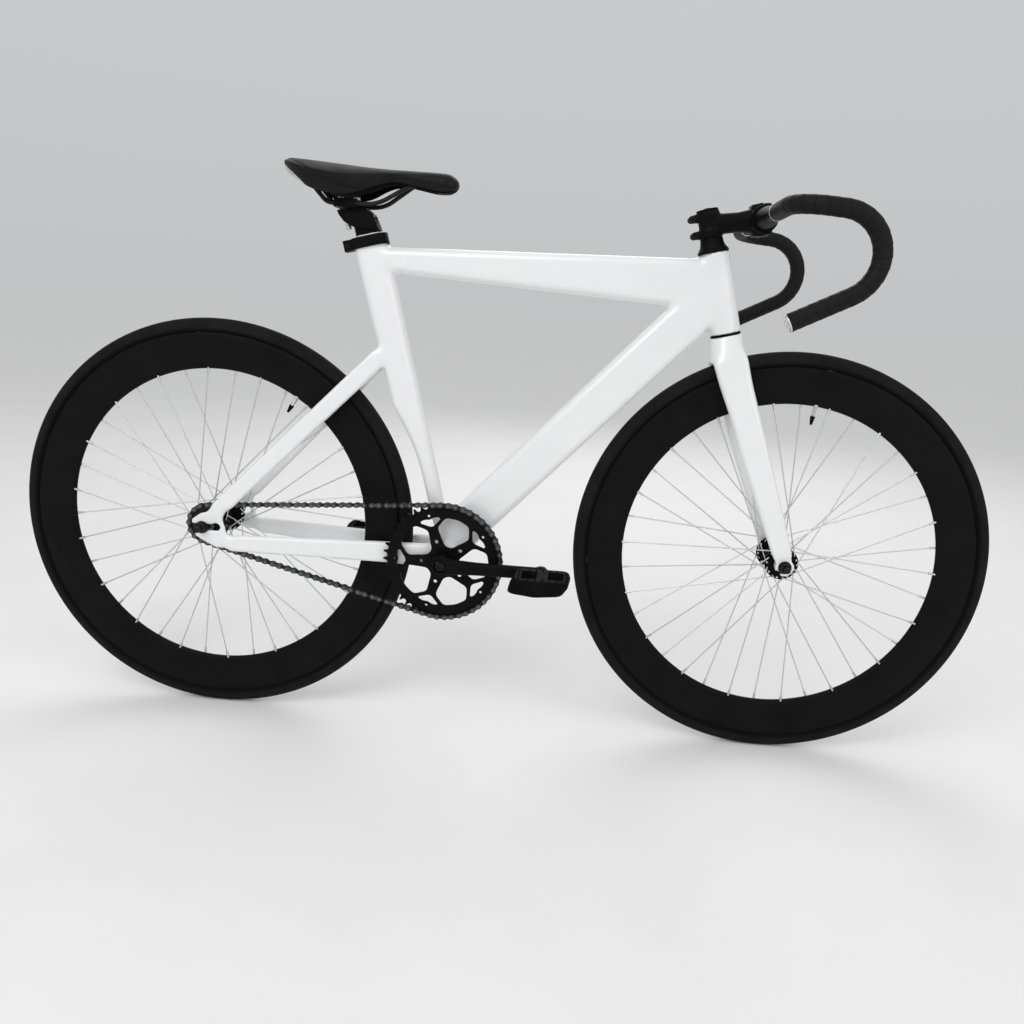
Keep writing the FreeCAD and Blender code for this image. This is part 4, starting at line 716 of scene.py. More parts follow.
def make_fork_skin():
    left = [blade_solid(), shoulder_solid()] + fork_end_solids()
    solids = [node_solid("fork_crown")] + left + [mirrored(solid) for solid in left]
    welded("fork_skin", solids, "steering", "frame_paint", "fork_crown", "fork_blade_right",
           "fork_blade_left", "fork_ends", voxel=1.5, reach=7.0, passes=30)
    low, high = FORK_LENGTH + 0.1, HEAD_LOW - 0.4
    ring = [(low, 18.1), (low, 23.6), (high, 23.6), (high, 18.1)]
    turned_piece("crown_race_seal", on_head(0), ring, "steering", "black_plastic", ease=0.8, axis=HEAD_UP,
                 radial=HEAD_AHEAD)


# Headset, stem and bars
CONE_KNOTS, CONE_RADII = (3.5, 11.5, 23.0), (24.0, 18.96, 17.0)
CONE_BORE = 14.32
STEM_DROP = math.radians(7.0)
STEM_AHEAD = HEAD_AHEAD * math.cos(STEM_DROP) - HEAD_UP * math.sin(STEM_DROP)
STEM_RISE = swung(HEAD_UP, HEAD_AHEAD, STEM_DROP)
BAR_CENTRE = on_head(STEM_MIDDLE) + STEM_AHEAD * 80.0
STEM_PINCH, PINCH_BACK = 12.5, -25.0
STEM_RADIUS, STEM_BAND_RADIUS, STEM_BAND = 16.2, 18.0, 13.0
BAR_CLAMP_RADIUS, BAR_CLAMP_HALF, CLAMP_LUG_RISE, CLAMP_GAP = 20.5, 22.0, 19.0, 0.6
BAR_RADIUS = 11.1
TAPE_THICKNESS, TAPE_START, TAPE_PITCH = 1.7, 105.0, 14.0
BAR_HALF, BAR_BEND = 210.0, 45.0
BAR_RAMP, BAR_RAMP_LENGTH = math.radians(5.0), 18.0
DROP_RADIUS = 58.0
DROP_TURN = math.radians(180.0 - 26.8 - 5.0)
DROP_END_LENGTH = 86.0


def make_headset():
    foot, top = CONE_KNOTS[0], CONE_KNOTS[-1]
    heights = [foot + (top - foot) * step / 10 for step in range(11)]
    cone = [(height, through(CONE_KNOTS, CONE_RADII, height)) for height in heights]
    profile = [(0.3, CONE_BORE), (0.3, CONE_RADII[0])] + cone + [(top, CONE_BORE)]
    turned_piece("headset_cone", on_head(HEAD_HIGH), profile, "steering", "black_alloy", "headset_cover",
                 ease=0.7, axis=HEAD_UP, radial=HEAD_AHEAD)
    cap = [(0.0, 2.6), (0.0, 17.0), (2.4, 16.4), (3.0, 6.2), (2.0, 5.6), (2.0, 2.6)]
    turned_piece("stem_cap", on_head(STEM_HIGH), cap, "steering", "black_alloy", "stem_top_cap", ease=1.0,
                 axis=HEAD_UP, radial=HEAD_AHEAD)


def make_stem_skin():
    """Cast stem: steerer clamp with split pinch bosses behind, and an arm that spreads to the bar clamp."""
    root = on_head(STEM_MIDDLE)
    solids = [rod(on_head(STEM_LOW), on_head(STEM_HIGH), STEM_RADIUS),
              rod(on_head(STEM_LOW), on_head(STEM_LOW + STEM_BAND), STEM_BAND_RADIUS),
              rod(on_head(STEM_HIGH - STEM_BAND), on_head(STEM_HIGH), STEM_BAND_RADIUS),
              tube([(root + STEM_AHEAD * along, width, depth) for along, width, depth in
                    ((0.0, 30.0, 31.0), (44.0, 31.0, 30.0), (72.0, 38.0, 38.0))], ACROSS, STEM_RISE, 14.0)]
    for step in (-STEM_PINCH, STEM_PINCH):
        for sign in (-1, 1):
            boss = on_head(STEM_MIDDLE + step, PINCH_BACK)
            solids.append(rod(boss + ACROSS * (sign * 1.2), boss + ACROSS * (sign * 10.5), 5.8))
            lobe = [(on_head(STEM_MIDDLE + step, ahead, sign * 5.85), 9.3, height)
                    for ahead, height in ((-9.0, 14.0), (PINCH_BACK, 11.0))]
            solids.append(tube(lobe, ACROSS, HEAD_UP, 3.0))
    half_ring = [swung(STEM_RISE, -STEM_AHEAD, math.pi * step / 24) * BAR_CLAMP_RADIUS
                 - STEM_AHEAD * CLAMP_GAP for step in range(25)]
    solids.append(lofted([[BAR_CENTRE + ACROSS * side + point for point in half_ring]
                          for side in (-BAR_CLAMP_HALF, BAR_CLAMP_HALF)]))
    for rise in (-CLAMP_LUG_RISE, CLAMP_LUG_RISE):
        lug = BAR_CENTRE + STEM_RISE * rise
        stations = [(lug - STEM_AHEAD * back, width, depth)
                    for back, width, depth in ((17.0, 28.0, 8.0), (CLAMP_GAP, 40.0, 12.0))]
        solids.append(tube(stations, ACROSS, STEM_RISE, 5.0))
    welded("stem_skin", solids, "steering", "black_alloy", "stem", voxel=1.0, reach=6.0, passes=24)


def bar_path(sign):
    """Points along half the bar, from where the tape starts to the end of the drop, and the end's heading."""
    ahead = Vector((math.cos(BAR_RAMP), 0, -math.sin(BAR_RAMP)))
    down = Vector((-math.sin(BAR_RAMP), 0, -math.cos(BAR_RAMP)))
    out = ACROSS * sign
    bend = BAR_CENTRE + out * (BAR_HALF - BAR_BEND) + ahead * BAR_BEND
    ramp_start = bend + out * BAR_BEND
    centre = ramp_start + ahead * BAR_RAMP_LENGTH + down * DROP_RADIUS
    heading = swung(ahead, down, DROP_TURN)

    def on_arc(middle, first, second, radius, angle):
        return middle + second * (radius * math.sin(angle)) - first * (radius * math.cos(angle))

    drop_end = on_arc(centre, down, ahead, DROP_RADIUS, DROP_TURN)
    points = [BAR_CENTRE + out * (TAPE_START + (BAR_HALF - BAR_BEND - TAPE_START) * step / 12)
              for step in range(12)]
    points += [on_arc(bend, ahead, out, BAR_BEND, math.pi / 2 * step / 24) for step in range(24)]
    points += [ramp_start + ahead * (BAR_RAMP_LENGTH * step / 6) for step in range(6)]
    points += [on_arc(centre, down, ahead, DROP_RADIUS, DROP_TURN * step / 48) for step in range(48)]
    points += [drop_end + heading * (DROP_END_LENGTH * step / 16) for step in range(17)]
    return points, heading


# Node trees that repeat a shape
def new_tree(name, **inputs):
    """Geometry node tree with the named inputs and a finish, and the outputs of its input node."""
    tree = bpy.data.node_groups.new(name, "GeometryNodeTree")
    for label, kind in {"Geometry": "Geometry", **inputs, "Finish": "Material"}.items():
        tree.interface.new_socket(label, in_out="INPUT", socket_type="NodeSocket" + kind)
    tree.interface.new_socket("Geometry", in_out="OUTPUT", socket_type="NodeSocketGeometry")
    return tree, tree.nodes.new("NodeGroupInput").outputs


def close_tree(tree, given, geometry):
    """Ends a tree with its geometry made real and coated in the finish."""
    whole = output(tree, "GeometryNodeRealizeInstances", {"Geometry": geometry})
    coated = output(tree, "GeometryNodeSetMaterial", {"Geometry": whole, "Material": given["Finish"]})
    add_node(tree, "NodeGroupOutput", {"Geometry": coated})
    return tree


def grow(piece, tree, **values):
    """Gives a piece a tree with its named inputs set."""
    made = piece.modifiers.new("grown", "NODES")
    made.node_group = tree
    for item in tree.interface.items_tree:
        if item.in_out == "INPUT" and item.name in values:
            made[item.identifier] = values[item.name]


def carried(tree, name, kind="FLOAT"):
    return output(tree, "GeometryNodeInputNamedAttribute", {"Name": name}, "Attribute", data_type=kind)


def stored(tree, geometry, name, value):
    inputs = {"Geometry": geometry, "Name": name, "Value": value}
    return output(tree, "GeometryNodeStoreNamedAttribute", inputs, data_type="FLOAT", domain="POINT")


def circle(tree, radius, steps):
    return output(tree, "GeometryNodeCurvePrimitiveCircle", {"Resolution": steps, "Radius": radius})


def swept(tree, line, ring):
    return output(tree, "GeometryNodeCurveToMesh", {"Curve": line, "Profile Curve": ring, "Fill Caps": True})


def repeated(tree, points, shape, turn, **more):
    inputs = {"Points": points, "Instance": shape, "Rotation": turn, **more}
    return output(tree, "GeometryNodeInstanceOnPoints", inputs)


def shape_of(tree, pattern):
    return output(tree, "GeometryNodeObjectInfo", {"Object": pattern}, "Geometry")


def placed_tree(name, pattern):
    """Tree that sets the pattern on each point, along its aim and at its size."""
    tree, given = new_tree(name)
    aim = carried(tree, "aim", "FLOAT_VECTOR")
    turn = output(tree, "FunctionNodeAlignRotationToVector", {"Vector": aim}, axis="Z")
    return close_tree(tree, given, repeated(tree, given["Geometry"], shape_of(tree, pattern), turn,
                                            Scale=carried(tree, "size", "FLOAT_VECTOR")))


def chain_tree(name, pattern):
    """Tree that sets the pattern on each point, leaned about the axis across."""
    tree, given = new_tree(name)
    turn = output(tree, "ShaderNodeCombineXYZ", {"Y": carried(tree, "lean")})
    return close_tree(tree, given, repeated(tree, given["Geometry"], shape_of(tree, pattern), turn))


def point_piece(name, points, edges=(), **attributes):
    """Points in millimetres, loose or in lines, with named vectors or numbers on each."""
    mesh = plain_mesh(name, [point * MM for point in points], edges)
    for label, values in attributes.items():
        if isinstance(values[0], Vector):
            layer = mesh.attributes.new(label, "FLOAT_VECTOR", "POINT")
            layer.data.foreach_set("vector", [part for value in values for part in value])
        else:
            layer = mesh.attributes.new(label, "FLOAT", "POINT")
            layer.data.foreach_set("value", values)
    return in_scene(name, mesh)


def guide_curve(name, rings, cyclic, **settings):
    """Curve object through rows of points in millimetres."""
    curve = bpy.data.curves.new(name, "CURVE")
    set_all(curve, settings)
    for ring in rings:
        line = curve.splines.new("POLY")
        line.points.add(len(ring) - 1)
        for point, spot in zip(line.points, ring):
            point.co = (*(part * MM for part in spot), *(0.0,) * (3 - len(spot)), 1.0)
        line.use_cyclic_u = cyclic
    return in_scene(name, curve)


def tape_tree():
    """Tree that winds a strip along a line, each turn lifted over the edge of the one before."""
    tree, given = new_tree("tape_winding", Radius="Float", Pitch="Float", Step="Float", Spacing="Float")
    even = output(tree, "GeometryNodeResampleCurve", {"Curve": given["Geometry"], "Length": given["Spacing"]},
                  mode="LENGTH")
    line = stored(tree, even, "run", output(tree, "GeometryNodeSplineParameter", out="Length"))
    ring = stored(tree, circle(tree, given["Radius"], 48), "turn",
                  output(tree, "GeometryNodeSplineParameter", out="Factor"))
    wraps = math_node(tree, "DIVIDE", carried(tree, "run"), given["Pitch"])
    phase = math_node(tree, "FRACT", math_node(tree, "ADD", wraps, carried(tree, "turn")))
    edge = math_node(tree, "SUBTRACT", 1.0, math_node(tree, "POWER", phase, 0.6))
    lift = math_node(tree, "MULTIPLY", edge, given["Step"])
    offset = output(tree, "ShaderNodeVectorMath", {0: output(tree, "GeometryNodeInputNormal"), "Scale": lift},
                    operation="SCALE")
    # The phase is kept as the overlap attribute, which drives the tape's painted shade in the overlaps.
    marked = stored(tree, swept(tree, line, ring), "overlap", phase)
    moved = output(tree, "GeometryNodeSetPosition", {"Geometry": marked, "Offset": offset})
    return close_tree(tree, given, moved)


def make_bar_tape():
    tree = tape_tree()
    for sign, side in ((-1, "right"), (1, "left")):
        points, heading = bar_path(sign)
        guide = guide_curve("bar_winding_" + side, [points], False, dimensions="3D")
        grow(guide, tree, Radius=(BAR_RADIUS + 1.15) * MM, Pitch=TAPE_PITCH * MM * sign,
             Step=(TAPE_THICKNESS - 1.2) * MM, Spacing=1.1 * MM, Finish=tape_black)
        mesh = fresh_mesh(guide)
        bpy.data.objects.remove(guide)
        smooth(mesh, 60.0)
        dress(in_scene("bar_winding_" + side, mesh), "steering", "bar_wrap", "bar_tape_" + side)
        make_bar_ends(side, points[0], ACROSS * sign, points[-1], heading)


def make_bar_ends(side, start, outwards, tip, heading):
    """Bright edge band where the tape starts, and the plug in the end of the drop."""
    aside = heading.orthogonal().normalized()
    band = [(-1.6, BAR_RADIUS), (-1.6, BAR_RADIUS + 1.5), (0.6, BAR_RADIUS + 1.9), (0.6, BAR_RADIUS)]
    turned_piece("tape_band_" + side, start, band, "steering", "bright_steel", steps=64, ease=0.4,
                 axis=outwards)
    lip = BAR_RADIUS + TAPE_THICKNESS
    plug = [(-16.0, 3.0), (-16.0, 9.0), (0.02, 9.2), (0.02, lip), (1.4, lip), (2.6, lip - 1.2),
            (3.0, lip - 4.0), (3.0, 6.0), (1.6, 5.2), (1.6, 3.0)]
    turned_piece("bar_plug_" + side, tip, plug, "steering", "plug_chrome", "bar_end_plugs", steps=64,
                 ease=0.6, axis=heading, radial=aside)
    core = [(-2.0, 0.4), (-2.0, 3.2), (-2.0, 5.0), (1.9, 5.0), (2.2, 3.2), (1.4, 2.6), (1.4, 0.4)]
    turned_piece("bar_plug_core_" + side, tip, core, "steering", "plug_chrome", steps=48, ease=0.4,
                 axis=heading, radial=aside)


# Screws and studs
RAIL_LINE = on_seat(COLLAR_TOP + 5.0 + 42.0 + 6.0, -20.5)


def pattern_of(name, points, faces):
    mesh = plain_mesh(name, points, faces=faces)
    outward(mesh)
    return in_scene(name, mesh)


def unit_screw():
    """Cap head of radius 1 and height 1 with a hexagon socket, and its shank below."""
    steps = 24
    rings = []
    for radius, height, hexagon in ((0.45, -2.0, False), (0.45, 0.0, False), (1.0, 0.0, False),
                                    (1.0, 0.85, False), (0.88, 1.0, False), (0.52, 1.0, True),
                                    (0.50, 0.45, True)):
        ring = []
        for step in range(steps):
            angle = FULL_TURN * step / steps
            reach = radius
            if hexagon:
                reach *= math.cos(math.pi / 6) / math.cos((angle % (math.pi / 3)) - math.pi / 6)
            ring.append(swung(AHEAD, ACROSS, angle) * reach + UP * height)
        rings.append(ring)
    return pattern_of("unit_screw", *lofted(rings))


def unit_stud():
    """Round stud of radius 1 and height 1."""
    return pattern_of("unit_stud", *lofted([[swung(AHEAD, ACROSS, math.pi * step / 6) * radius + UP * height
                                             for step in range(12)]
                                            for radius, height in ((1.0, -1.0), (1.0, 0.5), (0.6, 1.0))]))


def planted(name, pattern, spots, finish, body, slot, *nodes):
    """One piece with the pattern on each spot, given as (place, aim, radius, height)."""
    piece = point_piece(name, [spot[0] for spot in spots], aim=[spot[1] for spot in spots],
                        size=[Vector((radius, radius, height)) * MM for _, _, radius, height in spots])
    grow(piece, placed_tree(name, pattern), Finish=finish)
    applied(piece)
    bpy.data.objects.remove(pattern)
    smooth(piece.data, 35.0)
    dress(piece, body, slot, *nodes)


def make_screws():
    stem = [(on_head(STEM_MIDDLE + step, PINCH_BACK, -8.0), -ACROSS, 4.2, 4.0)
            for step in (-STEM_PINCH, STEM_PINCH)]
    stem += [(BAR_CENTRE + ACROSS * side + STEM_RISE * rise + STEM_AHEAD * 7.5, STEM_AHEAD, 4.2, 4.0)
             for side in (-14.0, 14.0) for rise in (-CLAMP_LUG_RISE, CLAMP_LUG_RISE)]
    stem.append((on_head(STEM_HIGH + 2.0), HEAD_UP, 5.0, 2.2))
    clamp = [(RAIL_LINE + AHEAD * step + UP * 7.02, UP, 5.0, 5.0) for step in (-13.0, 13.0)]
    collar = [(on_seat(526.5, -36.1, -5.5), -ACROSS, 4.2, 4.0)]
    cranks = [(BRACKET + ACROSS * (sign * 68.0), ACROSS * sign, 7.5, 4.0) for sign in (-1, 1)]
    for name, spots, body, slot, node in (
            ("stem_screws", stem, "steering", "black_steel", "stem_bolts"),
            ("clamp_screws", clamp, "seat", "bright_steel", "saddle_clamp_bolts"),
            ("collar_screw", collar, "frame", "black_steel", "seat_collar_bolt"),
            ("crank_screws", cranks, "crank", "black_steel", "crank_bolts")):
        planted(name, unit_screw(), spots, finish_of_slot[slot], body, slot, node)


# Wheels
SPOKE_COUNT, SPOKE_RADIUS, NIPPLE_RADIUS, NIPPLE_LENGTH = 36, 1.0, 2.0, 13.5
SPOKE_SLANT = 60.0
FLANGE_HALF, FLANGE_EDGE = 1.6, 3.2
RIM_INNER, RIM_OUTER, RIM_TRACK = 256.8, 316.5, 17.0
RIM_HALF, RIM_NOSE_HALF = 11.3, 4.6
TYRE_HALF, TYRE_FOOT_HALF, TYRE_STEPS = 14.0, 9.0, 88
WHEEL_STEPS = 288


def arc_through(first, middle, last, steps):
    """Points of the arc through three flat points."""
    (ax, ay), (bx, by), (cx, cy) = first, middle, last
    twice = 2 * (ax * (by - cy) + bx * (cy - ay) + cx * (ay - by))
    a, b, c = ax * ax + ay * ay, bx * bx + by * by, cx * cx + cy * cy
    ux = (a * (by - cy) + b * (cy - ay) + c * (ay - by)) / twice
    uy = (a * (cx - bx) + b * (ax - cx) + c * (bx - ax)) / twice
    radius = math.hypot(ax - ux, ay - uy)
    start = math.atan2(ay - uy, ax - ux)
    sweep = (math.atan2(cy - uy, cx - ux) - start + math.pi) % FULL_TURN - math.pi
    angles = [start + sweep * step / steps for step in range(steps + 1)]
    return [(ux + radius * math.cos(angle), uy + radius * math.sin(angle)) for angle in angles]


def tyre_profile():
    """Section of the tyre: smooth crown, a shoulder line and two moulded ribs low on each sidewall."""
    limit = math.pi / 2 + math.asin((TYRE_RADIUS - TYRE_HALF - RIM_OUTER) / TYRE_HALF)
    profile = [(-TYRE_FOOT_HALF, RIM_OUTER + 0.1)]
    for step in range(TYRE_STEPS + 1):
        angle = limit * (2 * step / TYRE_STEPS - 1)
        lean = abs(math.degrees(angle))
        radius = TYRE_HALF
        if 96.0 < lean < 100.0 or 108.0 < lean < 112.0:
            radius += 0.35
        if 54.0 < lean < 57.0:
            radius -= 0.35
        if lean > 122.0:
            radius -= 0.5
        profile.append((radius * math.sin(angle), TYRE_RADIUS - TYRE_HALF + radius * math.cos(angle)))
    return profile + [(TYRE_FOOT_HALF, RIM_OUTER + 0.1)]


def rim_profile():
    """Section of the rim: a narrow nose, bowed flanks, a flat track and the tyre's seat."""
    track_low = RIM_OUTER - RIM_TRACK
    nose_rise = RIM_INNER + RIM_NOSE_HALF / 2
    flank_radius = RIM_INNER + (track_low - RIM_INNER) * 0.6
    flank_half = RIM_NOSE_HALF + (RIM_HALF - RIM_NOSE_HALF) * math.sqrt(0.6)
    flank = arc_through((RIM_NOSE_HALF, nose_rise), (flank_half, flank_radius), (RIM_HALF, track_low), 14)
    right = flank + [(RIM_HALF, track_low + 6.0), (RIM_HALF, RIM_OUTER - 1.4),
                     (RIM_HALF - 0.4, RIM_OUTER - 0.4), (RIM_HALF - 1.2, RIM_OUTER),
                     (RIM_HALF - 1.9, RIM_OUTER), (RIM_HALF - 1.9, RIM_OUTER - 6.5)]
    left = [(-along, radius) for along, radius in reversed(right)]
    nose = arc_through((-RIM_NOSE_HALF, nose_rise), (0.0, RIM_INNER), (RIM_NOSE_HALF, nose_rise), 8)
    return right + left + nose[1:-1]


def spoke_tree():
    """Tree that draws one spoke with its head, elbow and nipple, and sets copies of it round the axle."""
    tree, given = new_tree("laced_spokes", Count="Int", Axle="Vector", Hub="Vector", Rim="Vector",
                           Nipple="Vector", Head="Vector", Thin="Float", Thick="Float")

    def drawn(start, end, radius, steps):
        line = output(tree, "GeometryNodeCurvePrimitiveLine", {"Start": given[start], "End": given[end]})
        return swept(tree, line, circle(tree, given[radius], steps))

    def ball(spot, radius, segments):
        sphere = output(tree, "GeometryNodeMeshUVSphere", {"Segments": segments, "Rings": segments // 2,
                                                           "Radius": given[radius]})
        return output(tree, "GeometryNodeTransform", {"Geometry": sphere, "Translation": given[spot]})

    spoke = add_node(tree, "GeometryNodeJoinGeometry")
    for part in (drawn("Hub", "Rim", "Thin", 10), drawn("Nipple", "Rim", "Thick", 12),
                 drawn("Hub", "Head", "Thin", 10), ball("Head", "Thick", 12), ball("Hub", "Thin", 8)):
        feed(tree, spoke, {"Geometry": part})
    share = math_node(tree, "DIVIDE", output(tree, "GeometryNodeInputIndex"), given["Count"])
    turn = output(tree, "ShaderNodeCombineXYZ", {"Y": math_node(tree, "MULTIPLY", share, FULL_TURN)})
    spots = output(tree, "GeometryNodePoints", {"Count": given["Count"]})
    many = repeated(tree, spots, spoke.outputs[0], turn)
    there = output(tree, "GeometryNodeTransform", {"Geometry": many, "Translation": given["Axle"]})
    return close_tree(tree, given, there)


def make_spokes(side, axle, body, flange_side, hole_radius, valve_angle, tree):
    """Four sets of nine: both flanges, heads outside and heads inside."""
    lean = FLANGE_HALF + SPOKE_RADIUS + 1.0
    whole = bmesh.new()
    for index in range(4):
        sign = 1 if index % 2 == 0 else -1
        way = 1 if index < 2 else -1
        rim_angle = valve_angle + (index + 0.5) * 360.0 / SPOKE_COUNT
        hole = wheel_direction(rim_angle - way * SPOKE_SLANT) * hole_radius
        hub_end = hole + ACROSS * (sign * (flange_side + way * lean))
        rim_end = wheel_direction(rim_angle) * (RIM_INNER + 4.5) + ACROSS * (sign * 2.4)
        along = (rim_end - hub_end).normalized()
        head = hole + ACROSS * (sign * flange_side) - ACROSS * (sign * way * 2.2)
        piece = point_piece("spoke_set", [Vector()])
        grow(piece, tree, Count=SPOKE_COUNT // 4, Axle=axle * MM, Hub=hub_end * MM, Rim=rim_end * MM,
             Nipple=(rim_end - along * NIPPLE_LENGTH) * MM, Head=head * MM, Thin=SPOKE_RADIUS * MM,
             Thick=NIPPLE_RADIUS * MM, Finish=finish_of_slot["bright_steel"])
        whole.from_mesh(fresh_mesh(piece))
        bpy.data.objects.remove(piece)
    laced = in_scene(side + "_laced_spokes", closed(whole, bpy.data.meshes.new(side + "_laced_spokes")))
    coat(laced, finish_of_slot["bright_steel"], 50.0)
    dress(laced, body, "bright_steel", side + "_spokes")


def hub_profile(flange_side, flange_radius, end_side, drive_boss):
    out, inside = flange_side + FLANGE_HALF, flange_side - FLANGE_HALF
    return [(-end_side, 13.05), (-end_side, drive_boss), (-out, drive_boss), (-out, flange_radius),
            (-inside, flange_radius), (-inside, 17.5), (-inside + 9.0, 15.0), (inside - 9.0, 15.0),
            (inside, 17.5), (inside, flange_radius), (out, flange_radius), (out, 16.0), (end_side, 16.0),
            (end_side, 13.05)]


def make_wheel(side, axle, tree, flange_side, flange_radius, end_side, drive_boss, valve_angle):
    body = side + "_wheel"
    turned_piece(side + "_road_tyre", axle, tyre_profile(), body, "tyre_rubber", side + "_tyre",
                 steps=WHEEL_STEPS, angle=60.0)
    turned_piece(side + "_deep_rim", axle, rim_profile(), body, "rim_black", side + "_rim", steps=WHEEL_STEPS,
                 angle=40.0)
    make_spokes(side, axle, body, flange_side, flange_radius - FLANGE_EDGE, valve_angle, tree)
    hub = hub_profile(flange_side, flange_radius, end_side, drive_boss)
    turned_piece(side + "_flange_hub", axle, hub, body, "black_alloy", side + "_hub", ease=0.8)
    out = wheel_direction(valve_angle)
    aside = out.orthogonal().normalized()
    thread = []
    for step in range(20):
        thread += [(241.0 + step * 0.8, 2.75), (241.4 + step * 0.8, 3.0)]
    stem = [(238.0, 0.6), (238.0, 2.9)] + thread + [(257.5, 3.0), (257.5, 5.2), (260.0, 5.2), (260.0, 0.6)]
    turned_piece(side + "_valve_stem", axle, stem, body, "bright_steel", side + "_inner_tube", steps=32,
                 axis=out, radial=aside)
    cap = [(227.1, 0.5), (227.1, 1.9), (239.0, 3.9), (241.1, 3.9), (241.1, 3.1), (236.0, 2.9), (236.0, 0.5)]
    turned_piece(side + "_valve_cap", axle, cap, body, "black_plastic", steps=32, ease=0.5, axis=out,
                 radial=aside)


# Chain and drive
CHAIN_LINE, CHAIN_PITCH = -43.0, 12.7
RING_TEETH, COG_TEETH = 48, 16
LINK_PLATE, LINK_END, LINK_WAIST = 1.2, 4.2, 4.2


def pitch_radius(teeth):
    return CHAIN_PITCH / (2 * math.sin(math.pi / teeth))


def chain_places():
    """Roller centres round both sprockets in order, taut above and with the slack below."""
    big, small = pitch_radius(RING_TEETH), pitch_radius(COG_TEETH)
    run = BRACKET - REAR_AXLE
    lean = math.degrees(math.asin((big - small) / run.length))
    base = math.degrees(math.atan2(run.z, run.x))
    straight = math.sqrt(run.length ** 2 - (big - small) ** 2)
    top_angle, low_angle = base + 90 + lean, base - 90 - lean
    ring_step, cog_step = 360 / RING_TEETH, 360 / COG_TEETH
    ring_count = int((180 + 2 * lean) / ring_step)
    ring_rest = big * math.radians(180 + 2 * lean - ring_count * ring_step)
    places = [BRACKET + wheel_direction(top_angle - index * ring_step) * big
              for index in range(ring_count + 1)]
    top_count = int(straight / CHAIN_PITCH)
    first_cog = math.degrees((CHAIN_PITCH - (straight - top_count * CHAIN_PITCH)) / small)
    wrap = 180 - 2 * lean
    cog_count = int((wrap - first_cog) / cog_step) + 1
    cog_rest = small * math.radians(wrap - first_cog - (cog_count - 1) * cog_step)
    low_start, low_end = CHAIN_PITCH - ring_rest, CHAIN_PITCH - cog_rest
    low_run = straight - low_start - low_end
    low_count = round(low_run / CHAIN_PITCH)
    if (ring_count + 1 + low_count + 1 + cog_count + top_count) % 2:
        low_count += 1 if low_run / CHAIN_PITCH > low_count else -1
    tangent = BRACKET + wheel_direction(low_angle) * big
    back = wheel_direction(low_angle - 90)
    places += [tangent + back * (low_start + index * low_run / low_count) for index in range(low_count + 1)]
    cog_angles = [top_angle + first_cog + index * cog_step for index in range(cog_count)]
    places += [REAR_AXLE + wheel_direction(angle) * small for angle in reversed(cog_angles)]
    tangent = BRACKET + wheel_direction(top_angle) * big
    back = wheel_direction(top_angle + 90)
    places += [tangent + back * (index * CHAIN_PITCH) for index in range(top_count, 0, -1)]
    return places, top_angle


def link_pattern(name, inner_face, pin_radius, pin_half):
    """One link along X: two waisted plates and, through its ends, rollers or rivets."""
    half = CHAIN_PITCH / 2
    outline = []
    tilt = math.acos(min(1.0, LINK_WAIST / 2 / LINK_END))
    for sign in (1, -1):
        for step in range(9):
            angle = (-math.pi / 2 - tilt * 0.35) + (math.pi + tilt * 0.7) * step / 8
            outline.append((sign * (half + LINK_END * math.cos(angle)), sign * LINK_END * math.sin(angle)))
        outline.append((0.0, sign * LINK_WAIST / 2))
    parts = [lofted([[Vector((x, side, z)) for x, z in outline] for side in (face, face + LINK_PLATE)])
             for face in (inner_face, -inner_face - LINK_PLATE)]
    parts += [rod(Vector((end, -pin_half, 0)), Vector((end, pin_half, 0)), pin_radius, 12)
              for end in (-half, half)]
    points, faces = gathered(parts)
    return pattern_of(name, [point * MM for point in points], faces)


def make_chain():
    """Roller chain: dark inner links, lighter outer links and a rivet head on both sides of each pin."""
    places = chain_places()[0]
    middles, leans = [], []
    for index, spot in enumerate(places):
        following = places[(index + 1) % len(places)]
        run = following - spot
        middle = (spot + following) / 2
        middles.append(Vector((middle.x, CHAIN_LINE, middle.z)))
        leans.append(-math.atan2(run.z, run.x))
    for first, kind, inner_face, pin_radius, pin_half, finish in ((0, "inner", 1.7, 3.87, 1.7, chain_dark),
                                                                  (1, "outer", 2.96, 1.85, 4.4, chain_steel)):
        pattern = link_pattern(kind + "_link", inner_face, pin_radius, pin_half)
        links = point_piece("chain_%s_links" % kind, middles[first::2], lean=leans[first::2])
        grow(links, chain_tree(kind + "_links", pattern), Finish=finish)
        applied(links)
        smooth(links.data, 35.0)
        bpy.data.objects.remove(pattern)
        dress(links, "frame", "black_steel", "chain")
    rivets = [(Vector((spot.x, CHAIN_LINE + sign * 4.3, spot.z)), ACROSS * sign, 2.0, 0.36)
              for sign in (-1, 1) for spot in places]
    planted("chain_rivets", unit_stud(), rivets, rivet_steel, "frame", "black_steel")


RING_RIM_OUTER, RING_RIM_INNER = 88.0, 77.0
RING_THICKNESS, TOOTH_THICKNESS = 4.6, 2.8
RING_ARMS, RING_BORE, RING_STEPS = 5, 17.03, 192
TOOTH_GAP_RADIUS, TOOTH_RISE, TOOTH_TIP_HALF = 4.05, 3.4, 0.9


